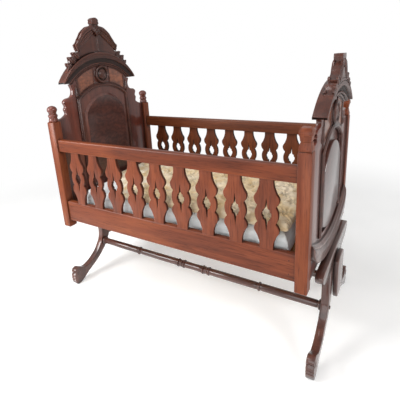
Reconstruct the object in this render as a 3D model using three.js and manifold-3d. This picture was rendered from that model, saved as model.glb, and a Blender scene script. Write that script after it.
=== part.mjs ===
// Walnut rocking cradle on two trestles, in millimetres, +Z up.
// X runs along the cradle with the foot end at +X, and Y across it with the front at -Y.
// The origin is on the floor under the middle of the cradle. Heights count from the floor.
// The rocking axis lies along X at the centre of the rockers' curve.

import * as THREE from "three";
import { mergeVertices } from "three/addons/utils/BufferGeometryUtils.js";
import Module from "manifold-3d";

const wasm = await Module();
wasm.setup();

// Clearances
const FIT_GAP = 0.3; // between any two pieces that touch
const OVERRUN = 4; // how far a cutting solid passes the face that it cuts

// Cradle body
const POST_SPACING_LENGTH = 1000; // between post centres along X
const POST_SPACING_WIDTH = 568; // between post centres along Y
const POST_SIDE = 37;
const POST_UNDERSIDE = 310;
const POST_CHAMFER = 5;
const HEAD_POST_TOP = 769;
const FOOT_POST_TOP = 738;

// Rails
const RAIL_THICKNESS = 24;
const RAIL_SETBACK = 6; // rail face behind the post face
const TOP_RAIL_TOP = 696;
const TOP_RAIL_HEIGHT = 48;
const BOTTOM_RAIL_TOP = 431;
const BOTTOM_RAIL_HEIGHT = 87;
const RAIL_EDGE_RADIUS = 6;
const RAIL_TENON_LENGTH = 16;
const RAIL_TENON_THICKNESS = 10;
const RAIL_TENON_SHOULDER = 9; // rail height left above and below its tenon
const LEDGE_WIDTH = 13; // ledge inside a bottom rail that carries the slats
const LEDGE_HEIGHT = 16;
const LEDGE_TOP = 372;

// Splats
const SPLATS_PER_SIDE = 9;
const SPLAT_PITCH = 98.7;
const SPLAT_HALF_WIDTH = 38;
const SPLAT_THICKNESS = 12;
const SPLAT_SETBACK = 2; // splat face behind the rail face
const SPLAT_TENON_DEPTH = 8;
const SPLAT_SLOT_HALF_WIDTH = 15;
const SPLAT_SLOT_HALF_HEIGHT = 53;

// Rockers and the rocking axis
const ROCKER_RADIUS = 560;
const ROCKER_THICKNESS = 20;
const ROCKER_DEPTH = 54; // from the rolling edge to the top of the moulding
const ROCKER_FASCIA = 30; // flat lower part of its outer face

// End boards
const BOARD_THICKNESS = 16;
const BOARD_CENTRE_OFFSET = 4; // board centre outside the post centre
const BOARD_LIFT = 25; // board's lower edge above the rolling edge
const STILE_WIDTH = 125.2; // board edge to the side of the opening
const OPENING_ARCH_RISE = 49;
const OPENING_LIFT = 70; // opening's lower edge above the rolling edge
const REBATE_WIDTH = 10;
const REBATE_DEPTH = 8;
const EAR_INSET = 52.2; // board edge to the scrolled ears
const HEAD_EAR_HEIGHT = 139; // post top to the cornice's tips
const FOOT_EAR_HEIGHT = 68;
const DROP_RADIUS = 8; // turned drops under the cornice's tips
const DROP_LENGTH = 53;
const HEAD_DROP_HANG = 10; // cornice's tip to the top of a drop
const FOOT_DROP_HANG = 30;
const CABOCHON_RING_RADIUS = 35.8;
const CABOCHON_RING_WIDTH = 8;
const CABOCHON_RING_PROUD = 5;
const CABOCHON_PROUD = 12;
const CABOCHON_CLEARANCE = 0.7; // ring to the mouldings above and below it
const FOOT_FRIEZE_SPARE = 12; // frieze height above the foot end's ring

// Panels and their mouldings
const FIELD_MARGIN = 13; // opening side to the side of the raised field
const FIELD_SHOULDER = 5; // field's side to the springing of its arch
const FIELD_ARCH_RISE = 70;
const FIELD_SILL_RISE = 34;
const FIELD_SILL_MARGIN = 12; // opening's lower edge to the field's
const HEAD_FIELD_TOP_MARGIN = 30; // opening's crown to the field's
const FOOT_FIELD_TOP_MARGIN = 39;
const FIELD_SLOPE = 9; // width of the sloping edge on the inner face
const FIELD_INNER_PROUD = 9; // field above the panel's plate, inside the cradle
const FIELD_OUTER_PROUD = 15;
const FIELD_EDGE_RADIUS = 3;
const MOULDING_WIDTH = 17;
const MOULDING_THICKNESS = 8;
const MOULDING_REVEAL = 1; // opening edge to moulding edge

// Cornices and crests
const CORNICE_INSET = 50.2; // board edge to the cornice's tips
const CORNICE_TIP_HEIGHT = 7; // blunt edge at each end
const CORNICE_BED_HEIGHT = 24;
const CORNICE_BEAD_HEIGHT = 10;
const CORNICE_QUIRK = 1.5; // small slope under the fascia and under the bed moulding
const HEAD_CORNICE_RISE = 97; // tips to the crown of the fascia's lower edge
const FOOT_CORNICE_RISE = 70;
const HEAD_FASCIA_HEIGHT = 25;
const FOOT_FASCIA_HEIGHT = 23;
const HEAD_CORNICE_INNER_PROUD = 12; // fascia beyond the board's faces
const HEAD_CORNICE_OUTER_PROUD = 12;
const FOOT_CORNICE_INNER_PROUD = 2;
const FOOT_CORNICE_OUTER_PROUD = 23;
const CREST_THICKNESS = 20;
const CREST_RELIEF = 4; // how far the leaves stand out of each face
const HEAD_CREST_HEIGHT = 145; // above the cornice's crown
const FOOT_CREST_HEIGHT = 74;
const HEAD_CREST_INSET = 29; // cornice's tips to the foot of the crest
const FOOT_CREST_INSET = 65;
const HEAD_CREST_SETBACK = 6; // behind the fascia's outer face
const FOOT_CREST_SETBACK = 0;

// Finials: balls on the head posts, square caps on the foot posts
const FINIAL_BALL_RADIUS = 19.5;
const FINIAL_BALL_HALF_HEIGHT = 16;
const FINIAL_HEIGHT = 62;
const FINIAL_DOWEL_RADIUS = 6;
const FINIAL_DOWEL_LENGTH = 18;
const CAP_HALF_SIDE = 15.8;
const CAP_HEIGHT = 62;

// Trestles
const TRESTLE_THICKNESS = 26;
const TRESTLE_CLEARANCE = 1.5; // post face to trestle face
const BAR_TOP = 332;
const BAR_HEIGHT = 60;
const BAR_HALF_LENGTH = 217;
const LEG_REACH = 293; // middle of the cradle to the toe
const LEG_BEVEL = 2.5;
const PLATE_THICKNESS = 16;
const PLATE_TOP = 302;
const PLATE_BOTTOM = 140;
const PLATE_HALF_WIDTH = 52;

// Stretchers
const STRETCHER_RADIUS = 14.5;
const STRETCHER_RING_RADIUS = 18;
const STRETCHER_COLLAR_RADIUS = 19.5;
const STRETCHER_TENON_RADIUS = 6.5;
const STRETCHER_BUTTON = 4; // tenon end beyond the leg

// Bed
const SLAT_COUNT = 8;
const SLAT_WIDTH = 66;
const SLAT_THICKNESS = 11;
const SLAT_BATTEN_WIDTH = 40;
const SLAT_BATTEN_THICKNESS = 9;
const BED_END_CLEARANCE = 28; // slats to the end boards
const MATTRESS_END_CLEARANCE = 44;
const MATTRESS_SIDE_CLEARANCE = 11.5; // mattress to the rails
const MATTRESS_HEIGHT = 78;
const MATTRESS_CROWN = 9;
const QUILT_LENGTH = 628;
const QUILT_END_CLEARANCE = 46; // quilt to the foot board
const QUILT_SIDE_CLEARANCE = 16.5;
const QUILT_HEIGHT = 30;
const QUILT_CROWN = 12;
const QUILT_TUFT_PITCH = 92;
const QUILT_TUFT_DEPTH = 7;

// Where a stretcher meets a leg, as shares of the leg's reach and height
const STRETCHER_REACH_SHARE = 0.302;
const STRETCHER_RISE_SHARE = 0.486;

// Places worked out from the sizes above
const halfLength = POST_SPACING_LENGTH / 2;
const halfWidth = POST_SPACING_WIDTH / 2;
const postFaceIn = POST_SPACING_WIDTH / 2 - POST_SIDE / 2; // inner faces across the cradle
const rockingHeight = BAR_TOP + FIT_GAP + ROCKER_RADIUS;
const boardIn = halfLength + BOARD_CENTRE_OFFSET - BOARD_THICKNESS / 2;
const boardOut = boardIn + BOARD_THICKNESS;
const boardMid = boardIn + BOARD_THICKNESS / 2;
const boardHalfWidth = postFaceIn - FIT_GAP;
const railFace = halfWidth + POST_SIDE / 2 - RAIL_SETBACK;
const railBack = railFace - RAIL_THICKNESS;
const railHalfLength = halfLength - POST_SIDE / 2 - FIT_GAP;
const trestleIn = halfLength + POST_SIDE / 2 + TRESTLE_CLEARANCE;
const trestleOut = trestleIn + TRESTLE_THICKNESS;
const legHeight = BAR_TOP - BAR_HEIGHT - FIT_GAP;
const stretcherOffset = STRETCHER_REACH_SHARE * LEG_REACH;
const stretcherHeight = STRETCHER_RISE_SHARE * legHeight;
const slatTop = LEDGE_TOP + FIT_GAP + SLAT_THICKNESS;
const openingHalfWidth = boardHalfWidth - STILE_WIDTH;
const earHalfWidth = boardHalfWidth - EAR_INSET;
const corniceHalfWidth = boardHalfWidth - CORNICE_INSET;
const fieldHalfWidth = openingHalfWidth - FIELD_MARGIN;
const friezeHeight = MOULDING_REVEAL + MOULDING_WIDTH + 2 * (CABOCHON_RING_RADIUS + CABOCHON_CLEARANCE);

// The two ends of the cradle
const ends = [
  {
    name: "head",
    side: -1,
    postTop: HEAD_POST_TOP,
    earHeight: HEAD_EAR_HEIGHT,
    dropHang: HEAD_DROP_HANG,
    friezeSpare: 0,
    fieldTopMargin: HEAD_FIELD_TOP_MARGIN,
    corniceRise: HEAD_CORNICE_RISE,
    fasciaHeight: HEAD_FASCIA_HEIGHT,
    corniceInner: HEAD_CORNICE_INNER_PROUD,
    corniceOuter: HEAD_CORNICE_OUTER_PROUD,
    crestHeight: HEAD_CREST_HEIGHT,
    crestInset: HEAD_CREST_INSET,
    crestSetback: HEAD_CREST_SETBACK,
  },
  {
    name: "foot",
    side: 1,
    postTop: FOOT_POST_TOP,
    earHeight: FOOT_EAR_HEIGHT,
    dropHang: FOOT_DROP_HANG,
    friezeSpare: FOOT_FRIEZE_SPARE,
    fieldTopMargin: FOOT_FIELD_TOP_MARGIN,
    corniceRise: FOOT_CORNICE_RISE,
    fasciaHeight: FOOT_FASCIA_HEIGHT,
    corniceInner: FOOT_CORNICE_INNER_PROUD,
    corniceOuter: FOOT_CORNICE_OUTER_PROUD,
    crestHeight: FOOT_CREST_HEIGHT,
    crestInset: FOOT_CREST_INSET,
    crestSetback: FOOT_CREST_SETBACK,
  },
];
for (const end of ends) {
  end.tip = end.postTop + end.earHeight; // underside of the cornice at its tips
  end.soffit = end.tip + end.corniceRise - CORNICE_BED_HEIGHT - CORNICE_BEAD_HEIGHT;
  end.archTop = end.soffit - friezeHeight - end.friezeSpare;
}

// Materials
function wood(color, roughness) {
  return new THREE.MeshStandardMaterial({ color, roughness, metalness: 0 });
}
const walnut = wood(0x8a4630, 0.42);
const darkWalnut = wood(0x5e3026, 0.45);
const panelWalnut = wood(0x54302a, 0.32);
const deal = wood(0xc49a6c, 0.75);
const ticking = new THREE.MeshStandardMaterial({ color: 0xdfe9ec, roughness: 0.92, metalness: 0 });
const quilting = new THREE.MeshStandardMaterial({ color: 0xd9c48f, roughness: 0.95, metalness: 0 });

// A closed geometry as a solid that can be joined and cut
function toSolid(geometry) {
  const bare = geometry.clone();
  bare.deleteAttribute("normal");
  bare.deleteAttribute("uv");
  const merged = mergeVertices(bare);
  const mesh = new wasm.Mesh({
    numProp: 3,
    vertProperties: merged.attributes.position.array,
    triVerts: Uint32Array.from(merged.index.array),
  });
  return new wasm.Manifold(mesh);
}

function toGeometry(solid) {
  const mesh = solid.getMesh();
  const geometry = new THREE.BufferGeometry();
  geometry.setAttribute("position", new THREE.BufferAttribute(mesh.vertProperties, 3));
  geometry.setIndex(new THREE.BufferAttribute(mesh.triVerts, 1));
  geometry.computeVertexNormals();
  return geometry;
}

function join(first, ...rest) {
  return rest.reduce((sum, geometry) => sum.add(toSolid(geometry)), toSolid(first));
}

function cut(solid, ...tools) {
  return tools.reduce((rest, geometry) => rest.subtract(toSolid(geometry)), solid);
}

// A geometry with its faces turned outwards
function outward(geometry) {
  const place = geometry.attributes.position;
  const corner = [new THREE.Vector3(), new THREE.Vector3(), new THREE.Vector3()];
  let volume = 0;
  for (let i = 0; i < geometry.index.count; i += 3) {
    corner.forEach((point, k) => point.fromBufferAttribute(place, geometry.index.getX(i + k)));
    volume += corner[0].dot(corner[1].cross(corner[2]));
  }
  if (volume < 0) geometry.index.array.reverse();
  return geometry;
}

function indexed(points, triangles) {
  const geometry = new THREE.BufferGeometry();
  geometry.setAttribute("position", new THREE.Float32BufferAttribute(points.flat(), 3));
  geometry.setIndex(triangles.flat());
  outward(geometry);
  geometry.computeVertexNormals();
  return geometry;
}

// A flat shape from its corners, which may run either way round
function shapeOf(points) {
  const corners = points.map(([a, b]) => new THREE.Vector2(a, b));
  return new THREE.Shape(THREE.ShapeUtils.isClockWise(corners) ? corners.reverse() : corners);
}

// A drawing in Y and Z, extruded along X from one place to another
const acrossBasis = new THREE.Matrix4().makeBasis(
  new THREE.Vector3(0, 1, 0),
  new THREE.Vector3(0, 0, 1),
  new THREE.Vector3(1, 0, 0),
);
function slabAlongX(shape, from, to, bevel = 0) {
  const low = Math.min(from, to);
  const depth = Math.abs(to - from) - 2 * bevel;
  const options = {
    depth,
    bevelEnabled: bevel > 0,
    bevelSize: bevel,
    bevelThickness: bevel,
    bevelOffset: -bevel,
    bevelSegments: 1,
    curveSegments: 3,
  };
  const geometry = new THREE.ExtrudeGeometry(shape, options);
  return geometry.applyMatrix4(acrossBasis).translate(low + bevel, 0, 0);
}

// A drawing in X and Z, extruded along Y
const lengthBasis = new THREE.Matrix4().makeBasis(
  new THREE.Vector3(1, 0, 0),
  new THREE.Vector3(0, 0, 1),
  new THREE.Vector3(0, -1, 0),
);
function slabAlongY(shape, from, to) {
  const high = Math.max(from, to);
  const depth = Math.abs(to - from);
  const geometry = new THREE.ExtrudeGeometry(shape, { depth, bevelEnabled: false, curveSegments: 10 });
  return geometry.applyMatrix4(lengthBasis).translate(0, high, 0);
}

function box(x0, x1, y0, y1, z0, z1) {
  const geometry = new THREE.BoxGeometry(Math.abs(x1 - x0), Math.abs(y1 - y0), Math.abs(z1 - z0));
  return geometry.translate((x0 + x1) / 2, (y0 + y1) / 2, (z0 + z1) / 2);
}

function mirrored(points) {
  return points.map(([a, b]) => [-a, b]).reverse();
}

function smooth(points, count) {
  const curve = new THREE.SplineCurve(points.map(([a, b]) => new THREE.Vector2(a, b)));
  return curve.getPoints(count).map((point) => [point.x, point.y]);
}

// Points on a circle round (0, centre), from one place across to another, above or below it
function arcPoints(centre, radius, from, to, count, below = false) {
  const start = Math.asin(from / radius);
  const end = Math.asin(to / radius);
  return Array.from({ length: count + 1 }, (_, i) => {
    const angle = start + ((end - start) * i) / count;
    const rise = radius * Math.cos(angle);
    return [radius * Math.sin(angle), below ? centre - rise : centre + rise];
  });
}

function arcOver(halfChord, rise) {
  return (halfChord * halfChord + rise * rise) / (2 * rise);
}

const cradle = new THREE.Group();

function place(name, geometry, material) {
  const mesh = new THREE.Mesh(geometry, material);
  mesh.name = name;
  cradle.add(mesh);
  return mesh;
}

// Posts: square, chamfered at both ends, mortised for the rails and bored for a finial
const sides = [
  { name: "front", side: -1 },
  { name: "rear", side: 1 },
];

const rails = [
  { name: "top", top: TOP_RAIL_TOP, height: TOP_RAIL_HEIGHT },
  { name: "bottom", top: BOTTOM_RAIL_TOP, height: BOTTOM_RAIL_HEIGHT },
];

function postSolid(end, acrossSide) {
  const half = POST_SIDE / 2;
  const inset = half - POST_CHAMFER;
  const height = end.postTop - POST_UNDERSIDE;
  const section = shapeOf([[-half, -half], [half, -half], [half, half], [-half, half]]);
  const shaft = new THREE.ExtrudeGeometry(section, {
    depth: height - 2 * POST_CHAMFER,
    bevelEnabled: true,
    bevelSize: half - inset,
    bevelThickness: POST_CHAMFER,
    bevelOffset: inset - half,
    bevelSegments: 2,
  });
  const centreX = end.side * halfLength;
  const centreY = acrossSide * halfWidth;
  shaft.translate(centreX, centreY, POST_UNDERSIDE + POST_CHAMFER);
  const mouth = end.side * (halfLength - half - OVERRUN);
  const floor = end.side * (halfLength - half + RAIL_TENON_LENGTH);
  const tenonY = acrossSide * (railFace - RAIL_THICKNESS / 2);
  const reach = RAIL_TENON_THICKNESS / 2 + FIT_GAP;
  const mortises = rails.map(({ top, height: tall }) => box(
    mouth,
    floor,
    tenonY - reach,
    tenonY + reach,
    top - tall + RAIL_TENON_SHOULDER - FIT_GAP,
    top - RAIL_TENON_SHOULDER + FIT_GAP,
  ));
  const boreDepth = FINIAL_DOWEL_LENGTH + FIT_GAP + OVERRUN;
  const bore = new THREE.CylinderGeometry(
    FINIAL_DOWEL_RADIUS + FIT_GAP,
    FINIAL_DOWEL_RADIUS + FIT_GAP,
    boreDepth,
    12,
  );
  bore.rotateX(Math.PI / 2).translate(centreX, centreY, end.postTop + OVERRUN - boreDepth / 2);
  return cut(toSolid(shaft), ...mortises, bore);
}

// Ball finials: a flattened ball on a grooved neck, turned with a dowel below
const FINIAL_NECK_SHARES = [
  [0.92, 0], [0.92, 0.13], [0.85, 0.16], [0.82, 0.26], [0.92, 0.29], [0.9, 0.42], [0.75, 0.46], [0.79, 0.5],
];
const BALL_STEPS = 6;
function finialGeometry(end, acrossSide) {
  const ballCentre = FINIAL_HEIGHT - FINIAL_BALL_HALF_HEIGHT;
  const neck = FINIAL_NECK_SHARES.map(([r, h]) => [r * FINIAL_BALL_RADIUS, h * FINIAL_HEIGHT]);
  const [neckRadius] = neck[neck.length - 1];
  const start = Math.asin(neckRadius / FINIAL_BALL_RADIUS);
  const ball = Array.from({ length: BALL_STEPS }, (_, i) => {
    const angle = Math.PI - start - ((Math.PI - start) * i) / BALL_STEPS;
    return [FINIAL_BALL_RADIUS * Math.sin(angle), ballCentre + FINIAL_BALL_HALF_HEIGHT * Math.cos(angle)];
  });
  const dowel = [[0, -FINIAL_DOWEL_LENGTH], [FINIAL_DOWEL_RADIUS, -FINIAL_DOWEL_LENGTH], [FINIAL_DOWEL_RADIUS, 0]];
  const profile = [...dowel, ...neck, ...ball, [0, FINIAL_HEIGHT]].map(([r, z]) => new THREE.Vector2(r, z));
  const turned = new THREE.LatheGeometry(profile, 12).rotateX(Math.PI / 2);
  return turned.translate(end.side * halfLength, acrossSide * halfWidth, end.postTop + FIT_GAP);
}

// Square caps: a block over a grooved neck that flares down to the post, with a square dowel
const CAP_SHARES = [
  [0.84, 0], [0.84, 0.05], [1, 0.08], [0.9, 0.16], [0.78, 0.27], [0.69, 0.37], [0.68, 0.44],
  [0.76, 0.5], [0.86, 0.6], [0.98, 0.73], [0.98, 0.92], [0.82, 1],
];
function capGeometry(end, acrossSide) {
  const dowel = [[0, -FINIAL_DOWEL_LENGTH], [FINIAL_DOWEL_RADIUS, -FINIAL_DOWEL_LENGTH], [FINIAL_DOWEL_RADIUS, 0]];
  const cap = CAP_SHARES.map(([a, h]) => [a * CAP_HALF_SIDE * Math.SQRT2, h * CAP_HEIGHT]);
  const profile = [...dowel, ...cap, [0, CAP_HEIGHT]].map(([r, z]) => new THREE.Vector2(r, z));
  const turned = new THREE.LatheGeometry(profile, 4).rotateX(Math.PI / 2).rotateZ(Math.PI / 4);
  return turned.translate(end.side * halfLength, acrossSide * halfWidth, end.postTop + FIT_GAP);
}

for (const end of ends) {
  for (const { name, side } of sides) {
    place(`post_${end.name}_${name}`, toGeometry(postSolid(end, side)), walnut);
    const topGeometry = end.name === "head" ? finialGeometry : capGeometry;
    place(`finial_${end.name}_${name}`, topGeometry(end, side), walnut);
  }
}

// Rails: rounded upper edges, a tenon at each end and a mortise for each splat.
// A bottom rail has a ledge along its inner face.
const splatCentreY = railFace - SPLAT_SETBACK - SPLAT_THICKNESS / 2;
const SPLAT_NECK_SHARE = 0.55;
const splatNeck = SPLAT_NECK_SHARE * SPLAT_HALF_WIDTH;
const splatPlaces = Array.from({ length: SPLATS_PER_SIDE }, (_, i) => (
  (i - (SPLATS_PER_SIDE - 1) / 2) * SPLAT_PITCH
));

function railSection(top, height, ledge) {
  const shape = new THREE.Shape();
  const low = top - height;
  const round = RAIL_EDGE_RADIUS;
  shape.moveTo(railFace, low);
  shape.lineTo(railFace, top - round);
  shape.absarc(railFace - round, top - round, round, 0, Math.PI / 2);
  shape.lineTo(railBack + round, top);
  shape.absarc(railBack + round, top - round, round, Math.PI / 2, Math.PI);
  if (ledge) {
    shape.lineTo(railBack, LEDGE_TOP);
    shape.lineTo(railBack - LEDGE_WIDTH, LEDGE_TOP);
    shape.lineTo(railBack - LEDGE_WIDTH, LEDGE_TOP - LEDGE_HEIGHT);
    shape.lineTo(railBack, LEDGE_TOP - LEDGE_HEIGHT);
  }
  shape.lineTo(railBack, low);
  return shape;
}

function railSolid({ name, top, height }, acrossSide) {
  const bottom = name === "bottom";
  const beam = slabAlongX(railSection(top, height, bottom), -railHalfLength, railHalfLength);
  const tenonHalfLength = halfLength - POST_SIDE / 2 + RAIL_TENON_LENGTH - FIT_GAP;
  const tenonMid = railFace - RAIL_THICKNESS / 2;
  const tenon = box(
    -tenonHalfLength,
    tenonHalfLength,
    tenonMid - RAIL_TENON_THICKNESS / 2,
    tenonMid + RAIL_TENON_THICKNESS / 2,
    top - height + RAIL_TENON_SHOULDER,
    top - RAIL_TENON_SHOULDER,
  );
  const mouth = bottom ? top + OVERRUN : top - height - OVERRUN;
  const floor = bottom ? top - SPLAT_TENON_DEPTH : top - height + SPLAT_TENON_DEPTH;
  const reach = SPLAT_THICKNESS / 2 + FIT_GAP;
  const mortises = splatPlaces.map((x) => box(
    x - splatNeck - FIT_GAP,
    x + splatNeck + FIT_GAP,
    splatCentreY - reach,
    splatCentreY + reach,
    Math.min(mouth, floor),
    Math.max(mouth, floor),
  ));
  const solid = cut(join(beam, tenon), ...mortises);
  return acrossSide > 0 ? solid : solid.mirror([0, 1, 0]);
}

for (const rail of rails) {
  for (const { name, side } of sides) {
    place(`rail_${rail.name}_${name}`, toGeometry(railSolid(rail, side)), walnut);
  }
}

// Splats: fretted boards with shoulders, cusps and a pierced slot that ends in points
const splatLow = BOTTOM_RAIL_TOP;
const splatHigh = TOP_RAIL_TOP - TOP_RAIL_HEIGHT;
const splatMid = (splatLow + splatHigh) / 2;
const splatHalfHeight = (splatHigh - splatLow) / 2;
const SPLAT_SHOULDER_SHARES = [[SPLAT_NECK_SHARE, 1], [0.57, 0.82], [0.76, 0.63], [1, 0.48], [0.94, 0.34], [0.73, 0.24]];
const SPLAT_BULGE_SHARES = [[0.73, 0.24], [0.88, 0.13], [0.93, 0], [0.88, -0.13], [0.73, -0.24]];
const SPLAT_SLOT_SHARES = [[0, 1], [0.15, 0.7], [0.34, 0.36], [0.72, 0.27], [1, 0.1]];

function splatGeometry(x, acrossSide) {
  const scale = ([a, b]) => [a * SPLAT_HALF_WIDTH, b * splatHalfHeight];
  const tenonHalf = splatHalfHeight + SPLAT_TENON_DEPTH - FIT_GAP;
  const shoulder = smooth(SPLAT_SHOULDER_SHARES.map(scale), 6);
  const bulge = smooth(SPLAT_BULGE_SHARES.map(scale), 4).slice(1, -1);
  const lower = shoulder.map(([a, b]) => [a, -b]).reverse();
  const right = [[splatNeck, tenonHalf], ...shoulder, ...bulge, ...lower, [splatNeck, -tenonHalf]];
  const outline = [...right, ...mirrored(right)].map(([a, b]) => [x + a, splatMid + b]);
  const quarter = SPLAT_SLOT_SHARES.map(([a, b]) => [a * SPLAT_SLOT_HALF_WIDTH, b * SPLAT_SLOT_HALF_HEIGHT]);
  const down = quarter.map(([a, b]) => [a, -b]).reverse();
  const rightSlot = [...quarter, ...down];
  const slot = [...rightSlot, ...mirrored(rightSlot).slice(1, -1)];
  const shape = shapeOf(outline);
  shape.holes.push(new THREE.Path(slot.map(([a, b]) => new THREE.Vector2(x + a, splatMid + b))));
  const face = acrossSide * splatCentreY;
  return slabAlongY(shape, face - SPLAT_THICKNESS / 2, face + SPLAT_THICKNESS / 2);
}

for (const { name, side } of sides) {
  splatPlaces.forEach((x, i) => {
    place(`splat_${name}_${i + 1}`, splatGeometry(x, side), walnut);
  });
}

// Outlines that go round from the right springing over the arch, down to the lower edge and back.
// All have the same number of points, so that one can be joined to another.
const ARCH_STEPS = 12;
const SILL_STEPS = 8;
const openingArchRadius = arcOver(openingHalfWidth, OPENING_ARCH_RISE);
const openingSillRadius = ROCKER_RADIUS - OPENING_LIFT;

// An end board's opening, grown by a margin. Its lower edge follows the rocker.
function openingOutline(end, margin) {
  const half = openingHalfWidth + margin;
  const archCentre = end.archTop - openingArchRadius;
  const arch = arcPoints(archCentre, openingArchRadius + margin, half, -half, ARCH_STEPS);
  const sill = arcPoints(rockingHeight, openingSillRadius + margin, -half, half, SILL_STEPS, true);
  const [, springing] = arch[0];
  const [, corner] = sill[0];
  const middle = (springing + corner) / 2;
  return [...arch, [-half, middle], ...sill, [half, middle]];
}

// A panel's raised field, grown by a margin, with a shoulder beside the springing of its arch
function fieldOutline(end, margin) {
  const half = fieldHalfWidth + margin;
  const archHalf = half - FIELD_SHOULDER;
  const archRadius = arcOver(fieldHalfWidth - FIELD_SHOULDER, FIELD_ARCH_RISE);
  const archCentre = end.archTop - end.fieldTopMargin - archRadius;
  const sillRadius = arcOver(fieldHalfWidth, FIELD_SILL_RISE);
  const sillCentre = rockingHeight - openingSillRadius + FIELD_SILL_MARGIN + sillRadius;
  const arch = arcPoints(archCentre, archRadius + margin, archHalf, -archHalf, ARCH_STEPS);
  const sill = arcPoints(sillCentre, sillRadius + margin, -half, half, SILL_STEPS, true);
  const [, springing] = arch[0];
  return [...arch, [-half, springing], ...sill, [half, springing]];
}

// Triangles that fill a flat outline, in the outline's own direction
function fillOf(outline) {
  const contour = outline.map(([a, b]) => new THREE.Vector2(a, b));
  const forwards = THREE.ShapeUtils.area(contour) > 0;
  const triangles = THREE.ShapeUtils.triangulateShape(contour, []);
  return triangles.map(([a, b, c]) => (forwards ? [a, b, c] : [c, b, a]));
}

// Triangles that fill a ring whose first half lies opposite its second
function ladderOf(count) {
  return Array.from({ length: count / 2 - 1 }, (_, i) => {
    const j = count - 1 - i;
    return [[i, i + 1, j - 1], [i, j - 1, j]];
  }).flat();
}

// Rings of points joined one to the next. They close on the first ring, or have the same cap
// at each end.
function loft(loops, cap = null) {
  const count = loops[0].length;
  const spans = cap ? loops.length - 1 : loops.length;
  const triangles = [];
  for (let k = 0; k < spans; k += 1) {
    const here = k * count;
    const next = ((k + 1) % loops.length) * count;
    for (let i = 0; i < count; i += 1) {
      const j = (i + 1) % count;
      triangles.push([here + i, here + j, next + j], [here + i, next + j, next + i]);
    }
  }
  const last = (loops.length - 1) * count;
  for (const [p, q, r] of cap ?? []) triangles.push([r, q, p], [last + p, last + q, last + r]);
  return indexed(loops.flat(), triangles);
}

// Radii and centres of the cornice's arches, from the places where they spring
function corniceArches(end) {
  const crown = end.corniceRise + end.fasciaHeight;
  const lowerRadius = arcOver(corniceHalfWidth, end.corniceRise);
  const upperRadius = arcOver(corniceHalfWidth, crown - CORNICE_TIP_HEIGHT);
  return {
    lowerRadius,
    lowerCentre: end.tip + end.corniceRise - lowerRadius,
    upperRadius,
    upperCentre: end.tip + crown - upperRadius,
  };
}

function widthAt(radius, centre, height) {
  return Math.sqrt(radius * radius - (height - centre) * (height - centre));
}

// End boards, outlined by scrolled ears above the posts and by the seat of the cornice
const EAR_SHARES = [
  [1.13, 0.04], [1.09, 0.07], [1.033, 0.14], [1.052, 0.27], [1.023, 0.35], [1.052, 0.48],
  [0.99, 0.57], [0.883, 0.6], [0.83, 0.67], [0.808, 0.8], [0.836, 0.92], [0.85, 0.97],
];
const EAR_STEPS = 26;
const SEAT_STEPS = 20;
const BOARD_FOOT_STEPS = 16;
function boardOutline(end) {
  const { lowerRadius, lowerCentre } = corniceArches(end);
  const seatRadius = lowerRadius - CORNICE_BED_HEIGHT - CORNICE_BEAD_HEIGHT - FIT_GAP;
  const seatHalf = widthAt(seatRadius, lowerCentre, end.tip - FIT_GAP);
  const scaled = EAR_SHARES.map(([a, b]) => [a * earHalfWidth, end.postTop + b * end.earHeight]);
  const right = [[boardHalfWidth, end.postTop + FIT_GAP], ...smooth(scaled, EAR_STEPS)];
  const seat = arcPoints(lowerCentre, seatRadius, seatHalf, -seatHalf, SEAT_STEPS);
  const footRadius = ROCKER_RADIUS - BOARD_LIFT;
  const foot = arcPoints(rockingHeight, footRadius, -boardHalfWidth, boardHalfWidth, BOARD_FOOT_STEPS, true);
  return [...right, ...seat, ...mirrored(right), ...foot];
}

// A turned drop, half sunk in one face of the board
const DROP_SHARES = [[0, 0], [0.55, 0.04], [0.9, 0.13], [1, 0.25], [0.92, 0.4], [0.66, 0.62], [0.45, 0.84], [0.4, 1], [0, 1]];
const DROP_PLACE_SHARE = 0.723;
function dropGeometry(end, acrossSide, face) {
  const profile = DROP_SHARES.map(([r, h]) => new THREE.Vector2(r * DROP_RADIUS, h * DROP_LENGTH));
  const turned = new THREE.LatheGeometry(profile, 8).rotateX(Math.PI / 2);
  const low = end.tip - end.dropHang - DROP_LENGTH;
  return turned.translate(face, acrossSide * DROP_PLACE_SHARE * earHalfWidth, low);
}

function cabochonHeight(end) {
  return end.archTop + MOULDING_REVEAL + MOULDING_WIDTH + CABOCHON_CLEARANCE + CABOCHON_RING_RADIUS;
}
const cabochonRadius = CABOCHON_RING_RADIUS - CABOCHON_RING_WIDTH - FIT_GAP;

// A disc through the board, standing out of both faces
function discGeometry(end, radius, proud) {
  const disc = new THREE.CylinderGeometry(radius, radius, BOARD_THICKNESS + 2 * proud, 28);
  return disc.rotateZ(Math.PI / 2).translate(end.side * boardMid, 0, cabochonHeight(end));
}

function boardSolid(end) {
  const { side } = end;
  const sheet = slabAlongX(shapeOf(boardOutline(end)), side * boardIn, side * boardOut);
  const opening = slabAlongX(
    shapeOf(openingOutline(end, 0)),
    side * (boardIn - OVERRUN),
    side * (boardOut + OVERRUN),
  );
  const rebate = slabAlongX(
    shapeOf(openingOutline(end, REBATE_WIDTH)),
    side * (boardIn - OVERRUN),
    side * (boardIn + REBATE_DEPTH),
  );
  const ring = discGeometry(end, CABOCHON_RING_RADIUS, CABOCHON_RING_PROUD);
  const bore = discGeometry(end, cabochonRadius + FIT_GAP, CABOCHON_RING_PROUD + OVERRUN);
  const drops = sides.flatMap(({ side: across }) => [
    dropGeometry(end, across, side * boardOut),
    dropGeometry(end, across, side * boardIn),
  ]);
  return cut(join(sheet, ring, ...drops), opening, rebate, bore);
}

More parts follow.
